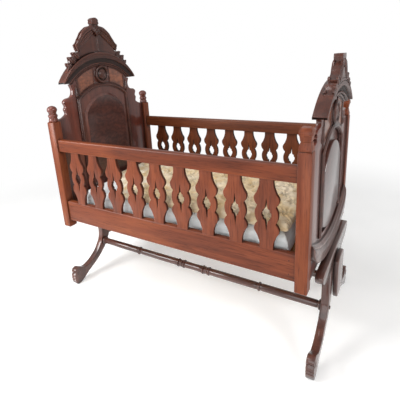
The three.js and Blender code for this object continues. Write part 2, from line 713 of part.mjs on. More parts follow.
// Cabochons: a domed boss inside a groove on both faces, turned as one barrel
const CABOCHON_SHARES = [[0, 1], [0.35, 0.94], [0.62, 0.74], [0.74, 0.45], [0.8, 0.45], [0.88, 0.62], [1, 0.5]];
function cabochonGeometry(end) {
  const reach = (share) => BOARD_THICKNESS / 2 + share * CABOCHON_PROUD;
  const face = CABOCHON_SHARES.map(([r, h]) => [r * cabochonRadius, reach(h)]);
  const back = face.map(([r, h]) => [r, -h]).reverse();
  const profile = [...face, ...back].reverse().map(([r, h]) => new THREE.Vector2(r, h));
  const turned = new THREE.LatheGeometry(profile, 20).rotateZ(Math.PI / 2);
  return turned.translate(end.side * boardMid, 0, cabochonHeight(end));
}

// Panels: a plate in the rebate, with a sloping raised field inside the cradle and a field
// with steep walls outside
function panelGeometry(end) {
  const plateIn = boardIn + FIT_GAP;
  const plateOut = boardIn + REBATE_DEPTH - FIT_GAP;
  const fieldOut = plateOut + FIELD_OUTER_PROUD;
  const plate = openingOutline(end, REBATE_WIDTH - FIT_GAP);
  const field = fieldOutline(end, 0);
  const levels = [
    [fieldOutline(end, -FIELD_SLOPE), plateIn - FIELD_INNER_PROUD],
    [field, plateIn],
    [plate, plateIn],
    [plate, plateOut],
    [field, plateOut],
    [field, fieldOut - FIELD_EDGE_RADIUS],
    [fieldOutline(end, -FIELD_EDGE_RADIUS), fieldOut],
  ];
  return loft(levels.map(([outline, x]) => outline.map(([y, z]) => [end.side * x, y, z])), fillOf(field));
}

// Mouldings: a quirk, an ovolo and an outer bead, planted on one face. One goes up beside the
// opening, over its arch and down again.
const MOULDING_SHARES = [[0, 0], [0, 0.45], [0.16, 0.45], [0.3, 1], [0.62, 0.8], [0.72, 0.5], [1, 0.62], [1, 0]];
function mouldingGeometry(end, face, outwards) {
  const section = MOULDING_SHARES.map(([across, proud]) => [
    MOULDING_REVEAL + across * MOULDING_WIDTH,
    face + outwards * (FIT_GAP + proud * MOULDING_THICKNESS),
  ]);
  const foot = rockingHeight - widthAt(openingSillRadius, 0, openingHalfWidth);
  const paths = section.map(([margin]) => {
    const arch = openingOutline(end, margin).slice(0, ARCH_STEPS + 1);
    const half = openingHalfWidth + margin;
    return [[half, foot], ...arch, [-half, foot]];
  });
  const loops = paths[0].map((_, i) => section.map(([, x], k) => [x, ...paths[k][i]]));
  return loft(loops, fillOf(section));
}

// Cornices: a pointed fascia over a bed moulding and a bead, arched along the board's top.
// The section is a list of levels between the fascia's two arcs and below them, each with
// its share of the overhang; it is carried from one tip to the other.
const CORNICE_STEPS = 22;
const BED_COVE_SHARE = 0.45;
const BED_HEAD_SHARE = 0.8;
const BED_FOOT_SHARE = 0.58;
const BEAD_SHARE = 0.29;
function corniceGeometry(end) {
  const { lowerRadius, lowerCentre, upperRadius, upperCentre } = corniceArches(end);
  const below = (drop) => {
    const radius = lowerRadius - drop;
    const half = widthAt(radius, lowerCentre, end.tip);
    return arcPoints(lowerCentre, radius, half, -half, CORNICE_STEPS);
  };
  const top = arcPoints(upperCentre, upperRadius, corniceHalfWidth, -corniceHalfWidth, CORNICE_STEPS);
  const levels = [
    [top, 1],
    [below(0), 1],
    [below(CORNICE_QUIRK), BED_HEAD_SHARE],
    [below(CORNICE_BED_HEIGHT * BED_COVE_SHARE), BED_FOOT_SHARE],
    [below(CORNICE_BED_HEIGHT), BED_FOOT_SHARE],
    [below(CORNICE_BED_HEIGHT + CORNICE_QUIRK), BEAD_SHARE],
    [below(CORNICE_BED_HEIGHT + CORNICE_BEAD_HEIGHT), BEAD_SHARE],
  ];
  const outer = levels.map(([arc, share]) => [arc, boardOut + share * end.corniceOuter]);
  const inner = levels.map(([arc, share]) => [arc, boardIn - share * end.corniceInner]).reverse();
  const section = [...outer, ...inner];
  const loops = top.map((_, i) => section.map(([arc, x]) => [end.side * x, ...arc[i]]));
  return loft(loops, ladderOf(section.length));
}

// Crests: a fretted board with stepped leaves at its sides and carved lobes on both faces.
// Each outline goes from the middle of the top to the foot, as shares of the crest's half
// width and of its height, counted at each place from the cornice below.
const CREST_SHARES = {
  head: [
    [0, 1], [0.054, 0.973], [0.081, 0.9], [0.06, 0.837], [0.134, 0.773], [0.296, 0.73], [0.419, 0.633],
    [0.505, 0.505], [0.602, 0.489], [0.565, 0.371], [0.525, 0.259], [0.565, 0.185], [0.699, 0.241],
    [0.755, 0.199], [0.81, 0.15], [0.882, 0.194], [0.885, 0.077], [0.93, 0.045], [1, 0],
  ],
  foot: [
    [0, 1], [0.187, 1.017], [0.207, 0.9], [0.18, 0.695], [0.253, 0.591], [0.333, 0.523], [0.387, 0.442],
    [0.427, 0.338], [0.5, 0.301], [0.653, 0.228], [0.64, 0.12], [0.68, 0.086], [0.74, 0.189],
    [0.82, 0.213], [0.85, 0.099], [0.92, 0.064], [1, 0],
  ],
};
const LOBE_SHARES = {
  head: [
    [0.05, 0.71], [0.18, 0.715], [0.3, 0.67], [0.39, 0.59], [0.47, 0.483], [0.56, 0.438], [0.5, 0.357],
    [0.42, 0.281], [0.4, 0.374], [0.33, 0.47], [0.22, 0.542], [0.12, 0.547], [0.05, 0.58],
  ],
  foot: [
    [0.06, 0.602], [0.2, 0.539], [0.3, 0.463], [0.37, 0.366], [0.42, 0.29], [0.58, 0.203], [0.5, 0.1],
    [0.4, 0.177], [0.28, 0.257], [0.16, 0.292], [0.06, 0.302],
  ],
};
const CREST_RIB_SHARES = {
  head: [[0.04, 0.951], [0.045, 0.6], [0.03, 0.3], [0.03, 0.06]],
  foot: [[0.187, 1.017], [0.207, 0.9], [0.18, 0.695], [0.1, 0.605], [0.05, 0.3], [0.05, 0.06]],
};
const CREST_SEAT_STEPS = 24;

function crestSolid(end) {
  const { upperRadius, upperCentre } = corniceArches(end);
  const half = corniceHalfWidth - end.crestInset;
  const seatRadius = upperRadius + FIT_GAP;
  const rise = end.crestHeight - FIT_GAP;
  const scale = ([a, b]) => [a * half, upperCentre + widthAt(seatRadius, 0, a * half) + b * rise];
  const right = CREST_SHARES[end.name].map(scale);
  const seat = arcPoints(upperCentre, seatRadius, half, -half, CREST_SEAT_STEPS).slice(1, -1);
  const shape = shapeOf([...right, ...seat, ...mirrored(right).slice(0, -1)]);
  const centre = boardOut + end.corniceOuter - end.crestSetback - CREST_RELIEF - CREST_THICKNESS / 2;
  const slab = (drawing, proud) => slabAlongX(
    drawing,
    end.side * (centre - CREST_THICKNESS / 2 - proud),
    end.side * (centre + CREST_THICKNESS / 2 + proud),
  );
  const lobe = LOBE_SHARES[end.name].map(scale);
  const lobes = [lobe, mirrored(lobe)].map((points) => slab(shapeOf(points), CREST_RELIEF));
  const ribSide = CREST_RIB_SHARES[end.name].map(scale);
  const rib = slab(shapeOf([...ribSide, ...mirrored(ribSide)]), CREST_RELIEF);
  return join(slab(shape, 0), ...lobes, rib);
}

// Rockers: a moulded section swept along the rolling curve, then cut to fit between the posts.
// The cove above the fascia is given as shares of the thickness and of the cove's height.
const ROCKER_COVE_SHARES = [[0.52, 0.4], [0.77, 0.6], [0.52, 0.85], [0.3, 1], [0, 1]];
const ROCKER_STEPS = 26;
function rockerSolid(end) {
  const base = boardOut + FIT_GAP;
  const coveHeight = ROCKER_DEPTH - ROCKER_FASCIA;
  const cove = ROCKER_COVE_SHARES.map(([a, b]) => [a * ROCKER_THICKNESS, ROCKER_FASCIA + b * coveHeight]);
  const flat = [[0, 0], [ROCKER_THICKNESS, 0], [ROCKER_THICKNESS, ROCKER_FASCIA], ...cove];
  const section = flat.map(([x, r]) => [end.side * (base + x), ROCKER_RADIUS - r]);
  const limit = Math.asin((boardHalfWidth + OVERRUN) / (ROCKER_RADIUS - ROCKER_DEPTH));
  const loops = Array.from({ length: ROCKER_STEPS + 1 }, (_, i) => {
    const angle = -limit + (2 * limit * i) / ROCKER_STEPS;
    return section.map(([x, r]) => [x, r * Math.sin(angle), rockingHeight - r * Math.cos(angle)]);
  });
  const room = box(
    end.side * (base - OVERRUN),
    end.side * (base + ROCKER_THICKNESS + OVERRUN),
    -boardHalfWidth,
    boardHalfWidth,
    rockingHeight - ROCKER_RADIUS - OVERRUN,
    rockingHeight,
  );
  return toSolid(loft(loops, fillOf(section))).intersect(toSolid(room));
}

for (const end of ends) {
  const { name, side } = end;
  place(`${name}_board`, toGeometry(boardSolid(end)), walnut);
  place(`${name}_panel`, panelGeometry(end), panelWalnut);
  place(`${name}_moulding_outer`, mouldingGeometry(end, side * boardOut, side), darkWalnut);
  place(`${name}_moulding_inner`, mouldingGeometry(end, side * boardIn, -side), darkWalnut);
  place(`${name}_cabochon`, cabochonGeometry(end), darkWalnut);
  place(`${name}_cornice`, corniceGeometry(end), darkWalnut);
  place(`${name}_crest`, toGeometry(crestSolid(end)), darkWalnut);
  place(`${name}_rocker`, toGeometry(rockerSolid(end)), walnut);
}

// Track bars: a flat top with the ends rounded down to a shorter underside
const BAR_END_SHARES = [[0.88, 1], [0.95, 0.94], [1, 0.78], [0.98, 0.55], [0.9, 0.3], [0.75, 0.12], [0.5, 0]];
function barGeometry(end) {
  const right = BAR_END_SHARES.map(([a, b]) => [a * BAR_HALF_LENGTH, BAR_TOP - BAR_HEIGHT + b * BAR_HEIGHT]);
  return slabAlongX(shapeOf([...right, ...mirrored(right)]), end.side * trestleIn, end.side * trestleOut);
}

// Legs: an S curve from the track bar out to a scrolled toe with a flat sole.
// Shares of the leg's reach and of its height.
const LEG_OUTER_SHARES = [
  [0.355, 1], [0.35, 0.86], [0.342, 0.68], [0.368, 0.54], [0.427, 0.445], [0.495, 0.365],
  [0.614, 0.28], [0.724, 0.235], [0.792, 0.235], [0.853, 0.27], [0.915, 0.302], [0.969, 0.285],
];
const LEG_TOE_SHARES = [[0.99, 0.243], [0.976, 0.213], [1, 0.177], [1, 0.1], [0.976, 0.03], [0.952, 0]];
const LEG_INNER_SHARES = [
  [0.894, 0], [0.819, 0.045], [0.751, 0.09], [0.683, 0.127], [0.614, 0.162], [0.546, 0.2], [0.478, 0.245],
  [0.41, 0.296], [0.341, 0.358], [0.273, 0.442], [0.212, 0.537], [0.171, 0.65], [0.15, 0.8], [0.15, 1],
];
const LEG_STEPS = 20;
function legGeometry(end, acrossSide) {
  const scale = ([a, b]) => [a * LEG_REACH, b * legHeight];
  const outer = smooth(LEG_OUTER_SHARES.map(scale), LEG_STEPS);
  const inner = smooth(LEG_INNER_SHARES.map(scale), LEG_STEPS);
  const outline = [...outer, ...LEG_TOE_SHARES.map(scale), ...inner];
  const shape = shapeOf(outline.map(([y, z]) => [acrossSide * y, z]));
  return slabAlongX(shape, end.side * trestleIn, end.side * trestleOut);
}

function legSolid(end, acrossSide) {
  const bore = new THREE.CylinderGeometry(
    STRETCHER_TENON_RADIUS + FIT_GAP,
    STRETCHER_TENON_RADIUS + FIT_GAP,
    TRESTLE_THICKNESS + 2 * OVERRUN,
    12,
  );
  bore.rotateZ(Math.PI / 2);
  const middle = (trestleIn + trestleOut) / 2;
  bore.translate(end.side * middle, acrossSide * stretcherOffset, stretcherHeight);
  return cut(toSolid(legGeometry(end, acrossSide)), bore);
}

// Joint plates: a thick board over the bar and the two legs, rounded above and below
const PLATE_SHARES = [
  [0.2, 1], [0.55, 0.985], [0.85, 0.94], [1, 0.84], [1, 0.3], [0.94, 0.14], [0.74, 0.04], [0.42, 0],
];
function plateGeometry(end) {
  const height = PLATE_TOP - PLATE_BOTTOM;
  const right = PLATE_SHARES.map(([a, b]) => [a * PLATE_HALF_WIDTH, PLATE_BOTTOM + b * height]);
  const from = trestleOut + FIT_GAP;
  return slabAlongX(
    shapeOf([...right, ...mirrored(right)]),
    end.side * from,
    end.side * (from + PLATE_THICKNESS),
  );
}

for (const end of ends) {
  place(`${end.name}_track_bar`, barGeometry(end), walnut);
  for (const { name, side } of sides) {
    place(`${end.name}_leg_${name}`, toGeometry(legSolid(end, side)), walnut);
  }
  place(`${end.name}_joint_plate`, plateGeometry(end), walnut);
}

// Stretchers: turned, with rings as shares of the length from the middle to a leg,
// a collar against each leg and a tenon that passes through it
const STRETCHER_RING_SHARES = [0.09, 0.14, 0.565];
const RING_HALF_WIDTH = 5;
const COLLAR_LENGTH = 9;
const COLLAR_RISE_SHARE = 0.7;
const COLLAR_END_SHARE = 0.2;
const BUTTON_RADIUS_SHARE = 0.6;
function stretcherGeometry(acrossSide) {
  const shoulder = trestleIn - FIT_GAP;
  const tip = trestleOut + STRETCHER_BUTTON;
  const half = [];
  for (const share of STRETCHER_RING_SHARES) {
    const x = share * shoulder;
    half.push([STRETCHER_RADIUS, x - RING_HALF_WIDTH]);
    half.push([STRETCHER_RING_RADIUS, x - RING_HALF_WIDTH / 2]);
    half.push([STRETCHER_RING_RADIUS, x + RING_HALF_WIDTH / 2]);
    half.push([STRETCHER_RADIUS, x + RING_HALF_WIDTH]);
  }
  half.push([STRETCHER_RADIUS, shoulder - COLLAR_LENGTH]);
  half.push([STRETCHER_COLLAR_RADIUS, shoulder - COLLAR_LENGTH * COLLAR_RISE_SHARE]);
  half.push([STRETCHER_COLLAR_RADIUS, shoulder - COLLAR_LENGTH * COLLAR_END_SHARE]);
  half.push([STRETCHER_TENON_RADIUS, shoulder]);
  half.push([STRETCHER_TENON_RADIUS, tip - STRETCHER_BUTTON / 2]);
  half.push([STRETCHER_TENON_RADIUS * BUTTON_RADIUS_SHARE, tip]);
  half.push([0, tip]);
  const back = half.map(([r, x]) => [r, -x]).reverse();
  const profile = [...back, ...half].map(([r, x]) => new THREE.Vector2(r, x));
  const turned = new THREE.LatheGeometry(profile, 12).rotateZ(-Math.PI / 2);
  return turned.translate(0, acrossSide * stretcherOffset, stretcherHeight);
}

for (const { name, side } of sides) {
  place(`stretcher_${name}`, stretcherGeometry(side), walnut);
}

// Bed base: cross slats held together by battens underneath
function bedBaseSolid() {
  const halfSpan = railBack - FIT_GAP;
  const low = LEDGE_TOP + FIT_GAP;
  const bedHalfLength = boardIn - BED_END_CLEARANCE;
  const step = (2 * bedHalfLength - SLAT_WIDTH) / (SLAT_COUNT - 1);
  const slats = Array.from({ length: SLAT_COUNT }, (_, i) => {
    const x = -bedHalfLength + i * step;
    return box(x, x + SLAT_WIDTH, -halfSpan, halfSpan, low, slatTop);
  });
  const battens = [-1, 0, 1].map((k) => {
    const y = k * (halfSpan - LEDGE_WIDTH - SLAT_BATTEN_WIDTH);
    return box(
      -bedHalfLength,
      bedHalfLength,
      y - SLAT_BATTEN_WIDTH / 2,
      y + SLAT_BATTEN_WIDTH / 2,
      low - SLAT_BATTEN_THICKNESS,
      low + SLAT_THICKNESS / 2,
    );
  });
  return join(slats[0], ...slats.slice(1), ...battens);
}
place("bed_base", toGeometry(bedBaseSolid()), deal);

// Soft pads: a grid above and a grid below, joined by a rounded side.
// The plan draws in between the corners.
const PAD_PULL_SHARE = 0.02;
const PAD_RIM_SHARES = [[0.985, 0.12], [1, 0.5], [0.985, 0.88]];
const PAD_EDGE_SHARE = 0.955;
const MATTRESS_COLUMNS = 14;
const MATTRESS_ROWS = 8;
const QUILT_COLUMNS = 24;
const QUILT_ROWS = 18;
function padGeometry(plan, bottomAt, topAt, columns, rows) {
  const { fromX, toX, halfY } = plan;
  const middleX = (fromX + toX) / 2;
  const halfX = (toX - fromX) / 2;
  const spot = (u, v, grow) => [
    middleX + halfX * u * grow * (1 - PAD_PULL_SHARE * (1 - v * v)),
    halfY * v * grow * (1 - PAD_PULL_SHARE * (1 - u * u)),
  ];
  const points = [];
  const index = (i, j) => i * (rows + 1) + j;
  const sheet = (heightAt) => {
    const base = points.length;
    for (let i = 0; i <= columns; i += 1) {
      for (let j = 0; j <= rows; j += 1) {
        const u = -1 + (2 * i) / columns;
        const v = -1 + (2 * j) / rows;
        const [x, y] = spot(u, v, PAD_EDGE_SHARE);
        points.push([x, y, heightAt(x, y, u, v)]);
      }
    }
    return base;
  };
  const top = sheet(topAt);
  const bottom = sheet(bottomAt);
  const triangles = [];
  for (let i = 0; i < columns; i += 1) {
    for (let j = 0; j < rows; j += 1) {
      const quad = [index(i, j), index(i + 1, j), index(i + 1, j + 1), index(i, j + 1)];
      const [a, b, c, d] = quad;
      triangles.push([top + a, top + b, top + c], [top + a, top + c, top + d]);
      triangles.push([bottom + a, bottom + c, bottom + b], [bottom + a, bottom + d, bottom + c]);
    }
  }
  const rim = [];
  for (let i = 0; i < columns; i += 1) rim.push([i, 0]);
  for (let j = 0; j < rows; j += 1) rim.push([columns, j]);
  for (let i = columns; i > 0; i -= 1) rim.push([i, rows]);
  for (let j = rows; j > 0; j -= 1) rim.push([0, j]);
  const loops = [rim.map(([i, j]) => bottom + index(i, j))];
  for (const [grow, rise] of PAD_RIM_SHARES) {
    loops.push(rim.map(([i, j]) => {
      const u = -1 + (2 * i) / columns;
      const v = -1 + (2 * j) / rows;
      const [x, y] = spot(u, v, grow);
      const low = bottomAt(x, y, u, v);
      const high = topAt(x, y, u, v);
      points.push([x, y, low + rise * (high - low)]);
      return points.length - 1;
    }));
  }
  loops.push(rim.map(([i, j]) => top + index(i, j)));
  for (let k = 0; k < loops.length - 1; k += 1) {
    rim.forEach((_, i) => {
      const j = (i + 1) % rim.length;
      triangles.push([loops[k][i], loops[k][j], loops[k + 1][j]]);
      triangles.push([loops[k][i], loops[k + 1][j], loops[k + 1][i]]);
    });
  }
  return indexed(points, triangles);
}

function crown(u, v) {
  return (1 - u ** 4) * (1 - v ** 4);
}

const mattressHalfX = boardIn - MATTRESS_END_CLEARANCE;
const mattressHalfY = railBack - MATTRESS_SIDE_CLEARANCE;
const mattressPlan = { fromX: -mattressHalfX, toX: mattressHalfX, halfY: mattressHalfY };
const mattressLow = slatTop + FIT_GAP;
const mattressTop = mattressLow + MATTRESS_HEIGHT;
function mattressTopAt(x, y) {
  return mattressTop + MATTRESS_CROWN * crown(x / mattressHalfX, y / mattressHalfY);
}
place(
  "mattress",
  padGeometry(mattressPlan, () => mattressLow, mattressTopAt, MATTRESS_COLUMNS, MATTRESS_ROWS),
  ticking,
);

// The quilt's top swells between tufts set out on a square grid
const quiltFootEdge = boardIn - QUILT_END_CLEARANCE;
const quiltPlan = {
  fromX: quiltFootEdge - QUILT_LENGTH,
  toX: quiltFootEdge,
  halfY: railBack - QUILT_SIDE_CLEARANCE,
};
const quiltLow = mattressTop + MATTRESS_CROWN + 2 * FIT_GAP;
function quiltTopAt(x, y, u, v) {
  const wave = (place) => Math.cos((2 * Math.PI * place) / QUILT_TUFT_PITCH);
  const swell = QUILT_CROWN + (QUILT_TUFT_DEPTH / 2) * wave(x) * wave(y);
  return quiltLow + QUILT_HEIGHT + swell * crown(u, v);
}
place(
  "quilt",
  padGeometry(quiltPlan, () => quiltLow, quiltTopAt, QUILT_COLUMNS, QUILT_ROWS),
  quilting,
);

export default cradle;
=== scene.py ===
# The look of a walnut rocking cradle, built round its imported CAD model.
# Sizes below are in millimetres and turn to metres in one place, when a mesh is made.
# X runs along the cradle with the foot end at +X, Y across it with the front at -Y, Z up.

import math

import bmesh
import bpy
from mathutils import Matrix, Vector, noise


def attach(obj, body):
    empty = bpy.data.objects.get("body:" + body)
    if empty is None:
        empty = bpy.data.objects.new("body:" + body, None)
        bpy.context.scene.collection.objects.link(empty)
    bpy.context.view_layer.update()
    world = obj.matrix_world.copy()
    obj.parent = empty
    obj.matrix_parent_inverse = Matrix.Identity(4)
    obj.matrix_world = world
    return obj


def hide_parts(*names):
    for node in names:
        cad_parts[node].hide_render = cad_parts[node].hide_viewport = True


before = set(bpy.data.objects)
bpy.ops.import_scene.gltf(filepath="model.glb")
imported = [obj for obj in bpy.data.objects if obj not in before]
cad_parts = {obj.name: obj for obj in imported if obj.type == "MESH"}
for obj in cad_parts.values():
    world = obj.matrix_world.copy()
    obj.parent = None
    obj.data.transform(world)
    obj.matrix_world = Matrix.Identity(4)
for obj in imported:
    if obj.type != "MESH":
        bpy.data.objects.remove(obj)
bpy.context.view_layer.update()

MM = 0.001
# Unseeded, Blender's noise offsets follow the clock, and the bedding would fold anew in each run
noise.seed_set(32)


def placed(name, data):
    """A new object in the scene with the given data."""
    item = bpy.data.objects.new(name, data)
    bpy.context.scene.collection.objects.link(item)
    return item


# The camera stands at the photograph's place. Its shift puts the horizon where the frame has it.
CAMERA_PLACE = Vector((721.0, -1184.0, 989.6)) * MM
CAMERA_TARGET = Vector((-28.9, 0, 587.3)) * MM
CAMERA_ROLL = -0.059
camera_data = bpy.data.cameras.new("camera")
camera_data.sensor_width = 36
camera_data.lens = 31.768
camera_data.shift_x = 0.01775
camera_data.shift_y = -0.10625
camera_data.clip_end = 100
camera = placed("camera", camera_data)
ahead = (CAMERA_TARGET - CAMERA_PLACE).normalized()
level = ahead.cross(Vector((0, 0, 1))).normalized()
above = level.cross(ahead)
right = level * math.cos(CAMERA_ROLL) + above * math.sin(CAMERA_ROLL)
top = above * math.cos(CAMERA_ROLL) - level * math.sin(CAMERA_ROLL)
turn = Matrix((right, top, -ahead)).transposed().to_4x4()
camera.matrix_world = Matrix.Translation(CAMERA_PLACE) @ turn
bpy.context.scene.camera = camera


# Finishes


def linear(code):
    """A colour written as sRGB hex, as the linear value that a shader takes."""
    channels = [int(code[i : i + 2], 16) / 255 for i in (1, 3, 5)]
    return tuple(c / 12.92 if c <= 0.04045 else ((c + 0.055) / 1.055) ** 2.4 for c in channels) + (1,)


def new_finish(name):
    """An empty material with its shader, its output and its node tree."""
    finish = bpy.data.materials.new(name)
    finish.use_nodes = True
    tree = finish.node_tree
    tree.nodes.clear()
    return finish, tree


def put(tree, kind, values=None, feeds=None, **settings):
    """Adds one shader node with its settings, its own values and what feeds it."""
    node = tree.nodes.new("ShaderNode" + kind)
    for key, value in settings.items():
        setattr(node, key, value)
    for socket, value in (values or {}).items():
        node.inputs[socket].default_value = value
    for socket, source in (feeds or {}).items():
        tree.links.new(source, node.inputs[socket])
    return node


def colour_steps(node, steps):
    """Gives a colour ramp its stops, as pairs of place and colour."""
    ramp = node.color_ramp
    while len(ramp.elements) < len(steps):
        ramp.elements.new(0.5)
    for element, (place, colour) in zip(ramp.elements, steps):
        element.position = place
        element.color = linear(colour)


def painted_hollow_shade(tree, colour, reach, low, high, darkest):
    """A colour darkened with painted shade in the hollows of a shape, as far as a reach in metres."""
    hollow = put(tree, "AmbientOcclusion", {"Distance": reach}, samples=8)
    shade = put(tree, "MapRange", {1: low, 2: high, 3: darkest, 4: 1.0}, {0: hollow.outputs["AO"]})
    return put(tree, "Mix", {0: 1.0}, {6: colour, 7: shade.outputs[0]},
               data_type="RGBA", blend_type="MULTIPLY").outputs[2]


# How the grain of each cut of walnut runs, as the axis that it follows
ALONG = {"x": 0, "y": 1, "z": 2}
FIGURE_WIDTH = 22  # broad bands of heart and sap colour across a board, mm
PORE_WIDTH = 2.4  # open pores are about 0.4 mm wide; drawn coarser so that they show
PORE_LENGTH = 60
STREAK_WIDTH = 7
STREAK_STRENGTH = 0.45
PORE_RELIEF = 0.25


def walnut(name, grain, pale, mid, dark, gloss=0.38, coat=0.1, polish=0.2, shade_depth=0.8, sheen=0.3,
           shade_reach=22):
    """Waxed walnut: straight open grain, darker in the hollows with painted shade, with a soft wax sheen."""
    finish, tree = new_finish(name)
    place = put(tree, "TexCoord").outputs["Object"]

    def stretched(width, length):
        scale = [1000 / width] * 3
        scale[ALONG[grain]] = 1000 / length
        return put(tree, "Mapping", {"Scale": scale}, {"Vector": place}).outputs["Vector"]

    drift = put(tree, "TexNoise", {"Scale": 1, "Detail": 3, "Roughness": 0.55, "Distortion": 0.6},
                {"Vector": stretched(FIGURE_WIDTH * 2, 420)})
    streaks = put(tree, "TexNoise", {"Scale": 1, "Detail": 5, "Roughness": 0.62, "Distortion": 0.35},
                  {"Vector": stretched(STREAK_WIDTH, 150)})
    pores = put(tree, "TexNoise", {"Scale": 1, "Detail": 2, "Roughness": 0.7},
                {"Vector": stretched(PORE_WIDTH, PORE_LENGTH)})
    body = put(tree, "ValToRGB", feeds={"Fac": drift.outputs["Fac"]})
    colour_steps(body, [(0.22, dark), (0.5, mid), (0.8, pale)])
    fleck = put(tree, "ValToRGB", feeds={"Fac": streaks.outputs["Fac"]})
    colour_steps(fleck, [(0.34, "#a8a09a"), (0.5, "#e6e2de"), (0.66, "#ffffff")])
    grained = put(tree, "Mix", {0: STREAK_STRENGTH}, {6: body.outputs["Color"], 7: fleck.outputs["Color"]},
                  data_type="RGBA", blend_type="MULTIPLY")
    pitted = put(tree, "ValToRGB", feeds={"Fac": pores.outputs["Fac"]})
    colour_steps(pitted, [(0.33, "#8f827a"), (0.45, "#ffffff")])
    open_grain = put(tree, "Mix", {0: 0.7}, {6: grained.outputs[2], 7: pitted.outputs["Color"]},
                     data_type="RGBA", blend_type="MULTIPLY")
    # Painted shade darkens the hollows, and handling rubs the edges lighter
    shaded_hollows = painted_hollow_shade(tree, open_grain.outputs[2], shade_reach * MM, 0.42, 0.96, 1 - shade_depth)
    rounded = put(tree, "Bevel", {"Radius": 0.003}, samples=4)
    facing = put(tree, "NewGeometry")
    turn_by = put(tree, "VectorMath", feeds={0: rounded.outputs["Normal"], 1: facing.outputs["Normal"]},
                  operation="DOT_PRODUCT")
    rubbed = put(tree, "MapRange", {1: 0.97, 2: 0.82, 3: 0.0, 4: 0.45}, {0: turn_by.outputs["Value"]})
    worn = put(tree, "Mix", {7: linear(pale)}, {0: rubbed.outputs[0], 6: shaded_hollows},
               data_type="RGBA", blend_type="SCREEN")
    soft = put(tree, "MapRange", {1: 0.3, 2: 0.7, 3: gloss + 0.12, 4: gloss - 0.05},
               {0: streaks.outputs["Fac"]})
    height = put(tree, "Math", {1: 0.35}, {0: streaks.outputs["Fac"], 2: pores.outputs["Fac"]},
                 operation="MULTIPLY_ADD")
    relief = put(tree, "Bump", {"Strength": PORE_RELIEF, "Distance": 0.0006}, {"Height": height.outputs[0]})
    shader = put(tree, "BsdfPrincipled",
                 {"IOR": 1.5, "Specular IOR Level": sheen, "Coat Weight": coat, "Coat Roughness": polish},
                 {"Base Color": worn.outputs[2], "Roughness": soft.outputs[0], "Normal": relief.outputs[0]})
    put(tree, "OutputMaterial", feeds={"Surface": shader.outputs[0]})
    return finish


# Sawn and planed walnut, stained red-brown and waxed thin, so its colour shows more than its shine
RED_WALNUT = {"pale": "#8c4a28", "mid": "#72371e", "dark": "#562716", "sheen": 0.2}
# The rear side hangs in the shade; it is given a darker copy of the walnut, which is painted shade
SHADED_WALNUT = {"pale": "#7a4224", "mid": "#65341c", "dark": "#4f2715", "sheen": 0.2}
# Trestle timber has taken more stain, and its polish is thick enough to mirror the room
STAND_WALNUT = {
    "pale": "#744435", "mid": "#553026", "dark": "#361c17", "coat": 0.7, "polish": 0.09, "sheen": 0.4,
}
# Carved and moulded work holds more stain in its end grain; its hollows take deeper painted shade
CARVED_WALNUT = {
    "pale": "#66382a", "mid": "#4e281d", "dark": "#341a14", "gloss": 0.34, "shade_depth": 0.95, "sheen": 0.35,
}
# Sawn edges are left rough, without wax
SAWN_EDGE = {"gloss": 0.6, "coat": 0.0}

rail_walnut = walnut("waxed_walnut_along_rails", "x", **RED_WALNUT)
rear_rail_walnut = walnut("shaded_walnut_along_rails", "x", **SHADED_WALNUT)
post_walnut = walnut("waxed_walnut_upright", "z", **RED_WALNUT)
splat_walnut = walnut("sawn_walnut_splats", "z", "#8a482b", "#723821", "#562818", sheen=0.2)
rear_splat_walnut = walnut("shaded_walnut_splats", "z", **SHADED_WALNUT)
fret_walnut = walnut("sawn_walnut_edges", "z", "#6c3823", "#56291a", "#3d1c13", **SAWN_EDGE)
# The rear splats' sawn edges are near black: painted shade over the darker sawn edge
shaded_rear_fret_walnut = walnut("shaded_walnut_edges", "z", "#301a12", "#21110c", "#150a08", **SAWN_EDGE)
board_walnut = walnut("waxed_walnut_end_boards", "z", "#78392a", "#5e2a1d", "#421c15",
                      coat=0.65, polish=0.1, sheen=0.5)
plate_walnut = walnut("waxed_walnut_panel_plates", "z", "#7b4636", "#623429", "#47241c",
                      coat=0.6, polish=0.12, sheen=0.5)
rocker_walnut = walnut("waxed_walnut_rockers", "y", **STAND_WALNUT)
stand_walnut = walnut("waxed_walnut_trestles", "z", **STAND_WALNUT)
bar_walnut = walnut("waxed_walnut_track_bars", "y", **STAND_WALNUT)
turned_walnut = walnut("turned_walnut_stretchers", "x", **STAND_WALNUT, gloss=0.3)
finial_walnut = walnut("turned_walnut_finials", "z", "#7d3f2c", "#622c20", "#401c14",
                       gloss=0.34, coat=0.45, polish=0.07)
carved_walnut = walnut("carved_walnut_crests", "z", **CARVED_WALNUT, coat=0.4, polish=0.14, shade_reach=11)
moulded_walnut = walnut("moulded_walnut_cornices", "y", **CARVED_WALNUT, coat=0.35, polish=0.22,
                        shade_reach=18)
# A near-black copy of the walnut for the cove under the cornice: painted shadow
cove_shadow_walnut = walnut("painted_shadow_walnut_coves", "y", "#3c231a", "#2a1711", "#1b0f0c", gloss=0.5, shade_depth=0.9)


